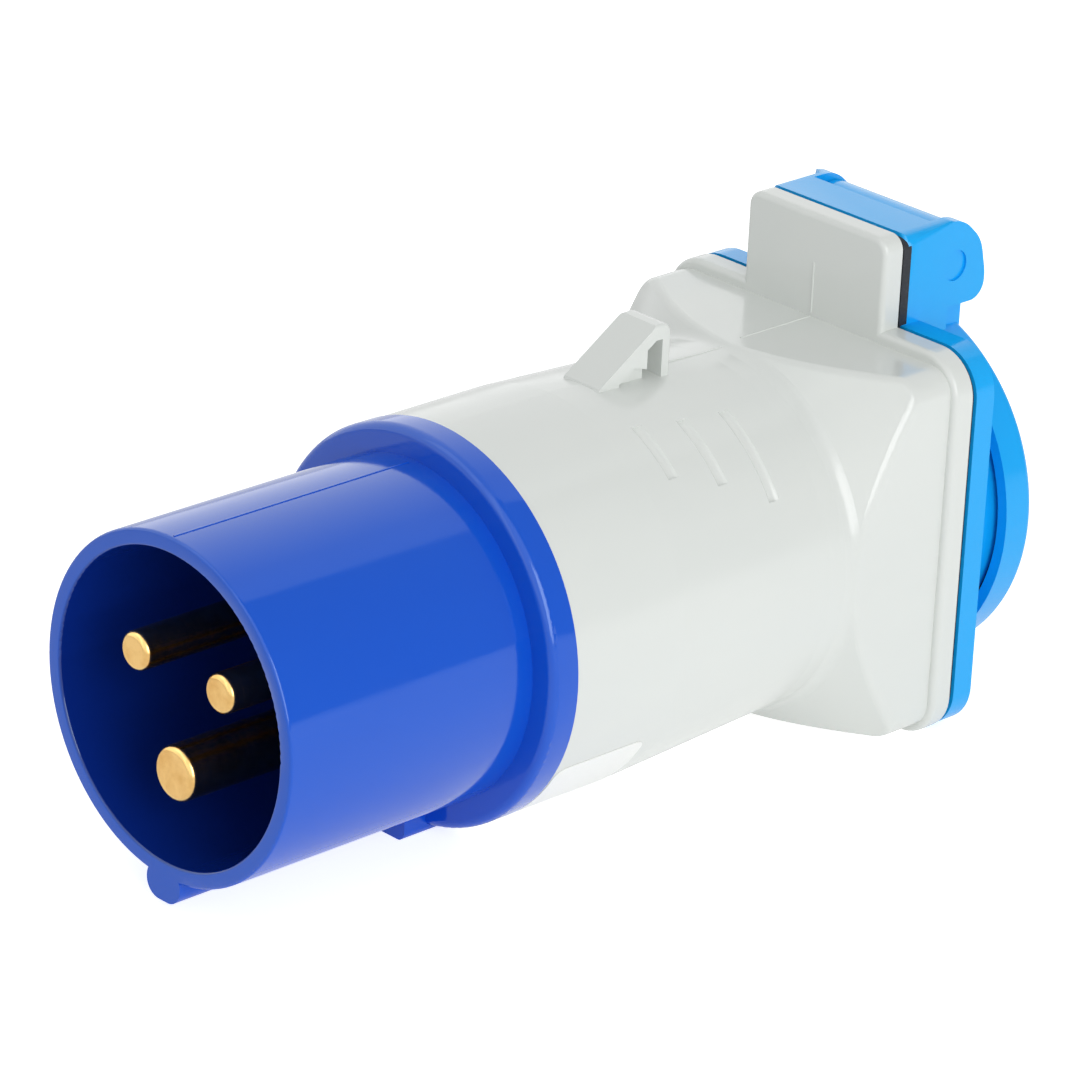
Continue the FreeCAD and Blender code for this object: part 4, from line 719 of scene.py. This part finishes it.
class PartingRidge:
    """The fine ridge that the two halves of a mould leave along the top of a moulding."""

    SHARP = math.radians(60)
    CREST = 0.3  # rounding of the ridge's crest as a share of its width
    LONG = 1.2  # edges longer than this share of the width run along a straight ridge

    def __init__(self, sizes: RidgeSizes) -> None:
        """Keeps the sizes."""
        self.sizes = sizes

    def build(self, name: str, points: list[tuple[float, float]], palette: Palette, slot: Slot) -> bpy.types.Object:
        """Draws the ridge along a line in the plane x = 0.

        Args:
            name: the piece's name.
            points: (along, up) of each point of the surface that it follows, millimetres.
            palette: the materials.
            slot: the slot of the moulding that it belongs to.

        Returns:
            The piece.
        """
        s = self.sizes
        mesh = bmesh.new()
        foot = bmesh.ops.create_vert(mesh, co=place(points[0][0], -s.width / 2, points[0][1]))["vert"][0]
        line = [foot]
        for along, up in points[1:]:
            step = bmesh.ops.extrude_vert_indiv(mesh, verts=[line[-1]])
            step["verts"][0].co = place(along, -s.width / 2, up)
            line.append(step["verts"][0])
        side = bmesh.ops.extrude_edge_only(mesh, edges=mesh.edges[:])
        bmesh.ops.translate(mesh, vec=(s.width * MM, 0, 0),
                            verts=[v for v in side["geom"] if isinstance(v, bmesh.types.BMVert)])
        bmesh.ops.recalc_face_normals(mesh, faces=mesh.faces[:])
        if mesh.faces[0].normal.dot(self._outward(points)) < 0:
            bmesh.ops.reverse_faces(mesh, faces=mesh.faces[:])
        bmesh.ops.translate(mesh, vec=self._outward(points) * -s.sunk * MM, verts=mesh.verts[:])
        bmesh.ops.solidify(mesh, geom=mesh.faces[:], thickness=-(s.sunk + s.height) * MM)
        # A straight ridge keeps the short edges of its ends. A bent one is rounded there as well.
        lines = [e for e in mesh.edges if e.calc_length() > s.width * MM * self.LONG or len(points) > 2]
        crest = [e for e in lines if abs(e.verts[0].co.x - e.verts[1].co.x) < SAME
                 and e.calc_face_angle(0.0) > self.SHARP]
        round_off(mesh, crest, s.width * MM * self.CREST, segments=3)
        return finish_piece(mesh, name, palette.by_slot[slot], Body.HOUSING)

    @staticmethod
    def _outward(points: list[tuple[float, float]]) -> Vector:
        """The mean direction that the line's surface faces."""
        rise = Vector((0, -(points[-1][1] - points[0][1]), points[-1][0] - points[0][0]))
        return rise.normalized()


@dataclass(frozen=True)
class TongueSizes:
    """Sizes of the dark tongue between the tab and the hinge block: gasket rubber at its foot, painted shade above,
    millimetres.
    """

    front: float = 109.0
    back: float = 110.4
    half_width: float = 12.16
    foot: float = 26.1
    top: float = 37.55
    corner: float = 1.4


class GasketAndShadeTongue:
    """A black sheet at the sides, where the tab meets the hinge block: the gasket's rubber at its foot, and above it
    painted shade for the dark gap between the tab and the block.
    """

    def __init__(self, sizes: TongueSizes) -> None:
        """Keeps the sizes."""
        self.sizes = sizes

    def build(self, palette: Palette) -> bpy.types.Object:
        """Shapes the tongue from a flat sheet with two round corners.

        Args:
            palette: the materials.

        Returns:
            The piece.
        """
        s = self.sizes
        mesh = bmesh.new()
        sheet = bmesh.ops.create_grid(mesh, x_segments=1, y_segments=1, size=0.5)
        bmesh.ops.scale(mesh, vec=(2 * s.half_width, s.top - s.foot, 1.0), verts=sheet["verts"])
        crown = [v for v in mesh.verts if v.co.y > 0]
        round_off(mesh, crown, s.corner, segments=8, affect="VERTICES")
        block = bmesh.ops.extrude_face_region(mesh, geom=mesh.faces[:])
        raised = [v for v in block["geom"] if isinstance(v, bmesh.types.BMVert)]
        bmesh.ops.translate(mesh, vec=(0, 0, s.back - s.front), verts=raised)
        for vert in mesh.verts:
            vert.co = place(s.front + vert.co.z, vert.co.x, (s.top + s.foot) / 2 + vert.co.y)
        # The gasket's black rubber also paints the shade of the gap above the gasket.
        return finish_piece(mesh, "gasket_and_shade_tongue", palette.by_slot[Slot.GASKET_BLACK], Body.HOUSING)


@dataclass(frozen=True)
class SoftFlange:
    """The socket flange with the soft corners that its mould leaves on the hinge block. Sizes in millimetres."""

    corner: float = 1.6
    half_width: float = 12.1
    top: float = 38.1

    FLAT = math.radians(0.4)  # faces that turn by less than this are one face
    NEAR = 0.01 * MM

    def build(self, palette: Palette) -> bpy.types.Object:
        """Rounds the two long upper corners of the hinge block on a merged copy of the solid.

        Args:
            palette: the materials.

        Returns:
            The piece.
        """
        mesh = merged_copy("socket_flange")
        bmesh.ops.dissolve_limit(mesh, angle_limit=self.FLAT, verts=mesh.verts[:], edges=mesh.edges[:])
        corners = [e for e in mesh.edges if self._is_corner(e)]
        round_off(mesh, corners, self.corner * MM, segments=6)
        LOG.info("rounded %d edges of the hinge block", len(corners))
        piece = finish_piece(mesh, "soft_flange", palette.by_slot[Slot.FLANGE_BLUE], Body.HOUSING)
        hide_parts("socket_flange")
        return piece

    def _is_corner(self, edge: bmesh.types.BMEdge) -> bool:
        """Tells whether an edge runs along the block's upper left or right corner.

        Args:
            edge: an edge of the copy.

        Returns:
            True if it does.
        """
        ends = [vert.co for vert in edge.verts]
        half, top = self.half_width * MM, self.top * MM
        on_line = all(abs(abs(c.x) - half) < self.NEAR and abs(c.z - AXIS_LEVEL - top) < self.NEAR for c in ends)
        return on_line and abs(ends[0].y - ends[1].y) > PLAY


@dataclass(frozen=True)
class SoftPlug:
    """The plug front with the wide soft edge that its mould gives to the front of the collar. Sizes in millimetres."""

    collar_radius: float = 25.45
    collar_front: float = 38.0
    modelled: float = 0.5  # the CAD's rounding
    wide: float = 1.2

    NEAR = 0.02 * MM

    def build(self, palette: Palette) -> bpy.types.Object:
        """Widens the collar's front rounding on a merged copy of the solid.

        Args:
            palette: the materials.

        Returns:
            The piece.
        """
        mesh = merged_copy("plug_front")
        edge, front, cad, wide = (v * MM for v in (self.collar_radius, self.collar_front, self.modelled, self.wide))
        moved = 0
        for vert in mesh.verts:
            radius = math.hypot(vert.co.x, vert.co.z - AXIS_LEVEL)
            along = vert.co.y - MOUTH
            out, ahead = radius - (edge - cad), (front + cad) - along
            off_arc = abs(math.hypot(out, ahead) - cad) > self.NEAR
            if out < -PLAY or ahead < -PLAY or off_arc:
                continue
            turn = math.atan2(out, ahead)
            wider = edge - wide + wide * math.sin(turn)
            vert.co.x *= wider / radius
            vert.co.z = AXIS_LEVEL + (vert.co.z - AXIS_LEVEL) * wider / radius
            vert.co.y = MOUTH + front + wide - wide * math.cos(turn)
            moved += 1
        LOG.info("moved %d points of the collar's rounding", moved)
        piece = finish_piece(mesh, "soft_plug", palette.by_slot[Slot.PLUG_BLUE], Body.HOUSING)
        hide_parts("plug_front")
        return piece


@dataclass(frozen=True)
class SetBackGasket:
    """The flange gasket, its outer edge a little inside the plates that squeeze it. Sizes in millimetres."""

    inset: float = 0.5
    reach: float = 22.0  # the walls of the cup's opening and of the screw holes are nearer to the axis, or look to it

    def build(self, palette: Palette) -> bpy.types.Object:
        """Moves the outer wall of a merged copy of the gasket inward.

        Args:
            palette: the materials.

        Returns:
            The piece.
        """
        mesh = merged_copy("flange_gasket")
        outer = {vert for face in mesh.faces if self._is_outer(face) for vert in face.verts}
        share = 1 - self.inset * MM / max(abs(vert.co.x) for vert in outer)
        bmesh.ops.scale(mesh, vec=(share, 1, share), verts=list(outer),
                        space=Matrix.Translation((0, 0, -AXIS_LEVEL)))
        LOG.info("set back %d points of the gasket's edge", len(outer))
        piece = finish_piece(mesh, "set_back_gasket", palette.by_slot[Slot.GASKET_BLACK], Body.HOUSING)
        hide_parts("flange_gasket")
        return piece

    def _is_outer(self, face: bmesh.types.BMFace) -> bool:
        """Tells whether a face is in the gasket's outer wall, which looks away from the plug axis.

        Args:
            face: a face of the copy.

        Returns:
            True if it is.
        """
        middle = face.calc_center_median() - Vector((0, 0, AXIS_LEVEL))
        middle.y = 0
        on_wall = abs(face.normal.y) < 0.1
        looks_out = face.normal.dot(middle.normalized()) > 0.3
        return on_wall and looks_out and max(abs(middle.x), abs(middle.z)) > self.reach * MM


# ---------------------------------------------------------------- studio


class Studio:
    """Pale floor, soft light and the photograph's camera."""

    CAMERA_ROWS = ((0.688199, -0.3147177, 0.6537085), (0.7241541, 0.242664, -0.6455346),
                   (0.0445297, 0.9176421, 0.3949053))
    CAMERA_PLACE = (0.472885, -0.469574, 0.317559)
    LENS = 196.5007
    SOFT_WHITE = "#fafbfb"
    WALL_SIDE = (-0.978, 0.0, 0.208)  # direction of the wall that reflections see, square to the plug axis
    CARD_SIDE = (0.549, -0.761, 0.347)  # direction of the card beside the camera

    def build(self) -> None:
        """Sets the camera, the world, the floor and the lamps."""
        self._camera()
        self._world()
        self._floor()
        self._lamp("key", where=(-0.3, -0.5, 0.75), size=(0.5, 0.5), power=0.5)
        self._lamp("side", where=(0.85, -0.28, 0.36), size=(0.6, 0.6), power=3.75)
        bpy.context.scene.view_settings.view_transform = "Standard"

    def _camera(self) -> None:
        """The camera at the photograph's angle."""
        data = bpy.data.cameras.new("photo_camera")
        data.lens = self.LENS
        data.sensor_width = 36.0
        data.clip_start = 0.01
        camera = bpy.data.objects.new("photo_camera", data)
        camera.matrix_world = Matrix.Translation(self.CAMERA_PLACE) @ Matrix(self.CAMERA_ROWS).to_4x4()
        bpy.context.scene.collection.objects.link(camera)
        bpy.context.scene.camera = camera

    def _world(self) -> None:
        """White for the camera, softer where it lights the object, and a wall and a card in reflections."""
        world = bpy.data.worlds.new("studio_world")
        world.use_nodes = True
        tree = world.node_tree
        tree.nodes.clear()
        path = add_node(tree, "ShaderNodeLightPath")
        way = add_node(tree, "ShaderNodeTexCoord").outputs["Generated"]
        parts = add_node(tree, "ShaderNodeSeparateXYZ", {"Vector": way})
        bright = add_node(tree, "ShaderNodeBackground", {"Color": WHITE, "Strength": 1.0})
        # Less soft light comes from in front of the mouth, so that the inside of the shroud stays deep.
        ambient = add_node(tree, "ShaderNodeMapRange", {"Value": parts.outputs["Y"], "From Min": -0.95,
                                                        "From Max": -0.25, "To Min": 0.42, "To Max": 0.66})
        soft = add_node(tree, "ShaderNodeBackground", {"Color": linear(self.SOFT_WHITE),
                                                       "Strength": ambient.outputs["Result"]})
        shown = add_node(tree, "ShaderNodeBackground", {"Color": linear(self.SOFT_WHITE),
                                                        "Strength": self._reflected(tree, way)})
        lit = add_node(tree, "ShaderNodeMixShader", {0: path.outputs["Is Glossy Ray"], 1: soft.outputs["Background"],
                                                     2: shown.outputs["Background"]})
        mix = add_node(tree, "ShaderNodeMixShader", {0: path.outputs["Is Camera Ray"], 1: lit.outputs["Shader"],
                                                     2: bright.outputs["Background"]})
        add_node(tree, "ShaderNodeOutputWorld", {"Surface": mix.outputs["Shader"]})
        bpy.context.scene.world = world

    def _reflected(self, tree: bpy.types.NodeTree, way: bpy.types.NodeSocket) -> bpy.types.NodeSocket:
        """Sets the strength of the studio in reflections: a dim room, a white wall on the far left and a soft card.

        The wall's edge runs along the plug axis, so it shows as the broad band with a clear border along the top of
        the shroud and the collar. The wall grows brighter away from its edge. The card catches the rounded edges.

        Args:
            tree: the world's nodes.
            way: the direction of the ray.

        Returns:
            The socket that gives the strength.
        """
        side = add_node(tree, "ShaderNodeVectorMath", {0: way, 1: self.WALL_SIDE}, operation="DOT_PRODUCT")
        wall = add_node(tree, "ShaderNodeMapRange", {"Value": side.outputs["Value"], "From Min": -0.01,
                                                     "From Max": 0.02, "To Min": 0.38, "To Max": 0.92})
        rise = add_node(tree, "ShaderNodeMapRange", {"Value": side.outputs["Value"], "From Min": 0.25,
                                                     "From Max": 0.75, "To Min": 0.0, "To Max": 0.75})
        facing = add_node(tree, "ShaderNodeVectorMath", {0: way, 1: self.CARD_SIDE}, operation="DOT_PRODUCT")
        card = add_node(tree, "ShaderNodeMapRange", {"Value": facing.outputs["Value"], "From Min": 0.6,
                                                     "From Max": 0.8, "To Min": 0.0, "To Max": 1.1})
        walls = add_node(tree, "ShaderNodeMath", {0: wall.outputs["Result"], 1: rise.outputs["Result"]},
                         operation="ADD")
        return add_node(tree, "ShaderNodeMath", {0: walls.outputs["Value"], 1: card.outputs["Result"]},
                        operation="ADD").outputs["Value"]

    def _floor(self) -> None:
        """A pale floor under the object that shows white and keeps a soft shadow."""
        mesh = bmesh.new()
        bmesh.ops.create_grid(mesh, x_segments=1, y_segments=1, size=4.0)
        data = bpy.data.meshes.new("studio_floor")
        mesh.to_mesh(data)
        mesh.free()
        floor = bpy.data.objects.new("studio_floor", data)
        bpy.context.scene.collection.objects.link(floor)
        material, tree, output = new_material("Floor_paper_white")
        path = add_node(tree, "ShaderNodeLightPath")
        where = add_node(tree, "ShaderNodeTexCoord").outputs["Object"]
        parts = add_node(tree, "ShaderNodeSeparateXYZ", {"Vector": where})
        # The floor is a little darker in front of the mouth, so that less light comes back into the shroud.
        ahead = {"Value": parts.outputs["Y"], "From Min": -0.17, "From Max": -0.07}
        shade = add_node(tree, "ShaderNodeMapRange", {**ahead, "To Min": 0.7, "To Max": 0.9})
        paper = add_node(tree, "ShaderNodeBsdfDiffuse", {"Color": shade.outputs["Result"]})
        # It glows by itself: for the camera as bright white paper, weakly for the object, more for its reflections.
        glow = add_node(tree, "ShaderNodeEmission", {"Color": WHITE, "Strength": 0.72})
        lift = add_node(tree, "ShaderNodeMapRange", {**ahead, "To Min": 0.14, "To Max": 0.17})
        gleam = add_node(tree, "ShaderNodeMath", {0: path.outputs["Is Glossy Ray"], 1: 0.18, 2: lift.outputs["Result"]},
                         operation="MULTIPLY_ADD")
        fill = add_node(tree, "ShaderNodeEmission", {"Color": WHITE, "Strength": gleam.outputs["Value"]})
        light = add_node(tree, "ShaderNodeMixShader", {0: path.outputs["Is Camera Ray"], 1: fill.outputs["Emission"],
                                                       2: glow.outputs["Emission"]})
        mix = add_node(tree, "ShaderNodeAddShader", {0: paper.outputs["BSDF"], 1: light.outputs["Shader"]})
        tree.links.new(mix.outputs["Shader"], output.inputs["Surface"])
        data.materials.append(material)
        floor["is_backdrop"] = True

    @staticmethod
    def _lamp(name: str, where: tuple[float, float, float], size: tuple[float, float], power: float) -> None:
        """Sets up a soft box that faces the object's middle.

        Args:
            name: the lamp's name.
            where: its place, metres.
            size: its width and height, metres.
            power: its power, watts.
        """
        data = bpy.data.lights.new(name, "AREA")
        data.shape = "RECTANGLE"
        data.size, data.size_y = size
        data.energy = power
        lamp = bpy.data.objects.new(name, data)
        spot = Vector(where)
        aim = Vector((0, 0, AXIS_LEVEL)) - spot
        lamp.matrix_world = Matrix.Translation(spot) @ aim.to_track_quat("-Z", "Y").to_matrix().to_4x4()
        lamp.visible_camera = False
        bpy.context.scene.collection.objects.link(lamp)


# ---------------------------------------------------------------- the whole


FLANGE_SCREW = ScrewSizes(head_radius=2.7, head_height=1.9, shaft_radius=1.5, shaft_length=12.0, recess_reach=1.5)
CENTRE_SCREW = ScrewSizes(head_radius=3.6, head_height=2.2, shaft_radius=1.9, shaft_length=9.0, recess_reach=2.1,
                          recess_width=0.95, recess_depth=1.3)
FLANGE_FACE = 112.85  # seat of the flange screws' heads, millimetres from the mouth
RECESS_FLOOR = 101.5  # seat of the centre screw's head, millimetres from the mouth
SCREW_REACH = 19.0  # offset of the flange screws from the plug axis, across and up, millimetres
FLANGE_TURNS = {(1, 1): 12.0, (-1, 1): 58.0, (1, -1): 33.0, (-1, -1): 79.0}  # recess turn at each corner, degrees
CENTRE_TURN = 24.0
# Each parting ridge: its name, its line as (along, up) in millimetres, and the slot of its moulding.
RIDGES = (
    ("shroud_ridge", [(0.5, 21.9), (37.0, 21.9)], Slot.PLUG_BLUE),
    ("waist_ridge", [(80.0, 24.43), (83.5, 24.23), (86.5, 24.05), (90.0, 24.06)], Slot.HOUSING_GREY),
    ("block_ridge", [(93.2, 24.5), (105.7, 24.5)], Slot.HOUSING_GREY),
    ("tab_ridge", [(105.8, 25.0), (105.8, 31.8)], Slot.HOUSING_GREY),
)


def measured(label: str, store: dict) -> None:
    """Keeps the object's box as plain lists."""
    low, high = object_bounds()
    store[label] = [[float(c) for c in low], [float(c) for c in high]]


def build_screws(palette: Palette) -> None:
    """Builds the screws that show: four in the flange and one in the recess.

    Args:
        palette: the materials.
    """
    seats = [(place(FLANGE_FACE, across * SCREW_REACH, up * SCREW_REACH), turn)
             for (across, up), turn in FLANGE_TURNS.items()]
    PanHeadScrew(FLANGE_SCREW).build("flange_screw_set", seats, palette, "flange_screws")
    PanHeadScrew(CENTRE_SCREW).build("centre_screw_piece", [(place(RECESS_FLOOR), CENTRE_TURN)], palette,
                                     "centre_screw")


def main() -> None:
    """Builds the scene."""
    logging.basicConfig(level=logging.INFO, format="%(name)s: %(message)s")
    sizes: dict = {}
    measured("cad", sizes)
    Studio().build()
    palette = Palette()
    palette.dress_nodes()
    build_screws(palette)
    SoftPlug().build(palette)
    SoftFlange().build(palette)
    SetBackGasket().build(palette)
    GasketAndShadeTongue(TongueSizes()).build(palette)
    BareLabel(LabelSizes()).build(palette)
    for name, line, slot in RIDGES:
        PartingRidge(RidgeSizes()).build(name, line, palette, slot)
    measured("dressed", sizes)


if __name__ == "__main__":
    main()
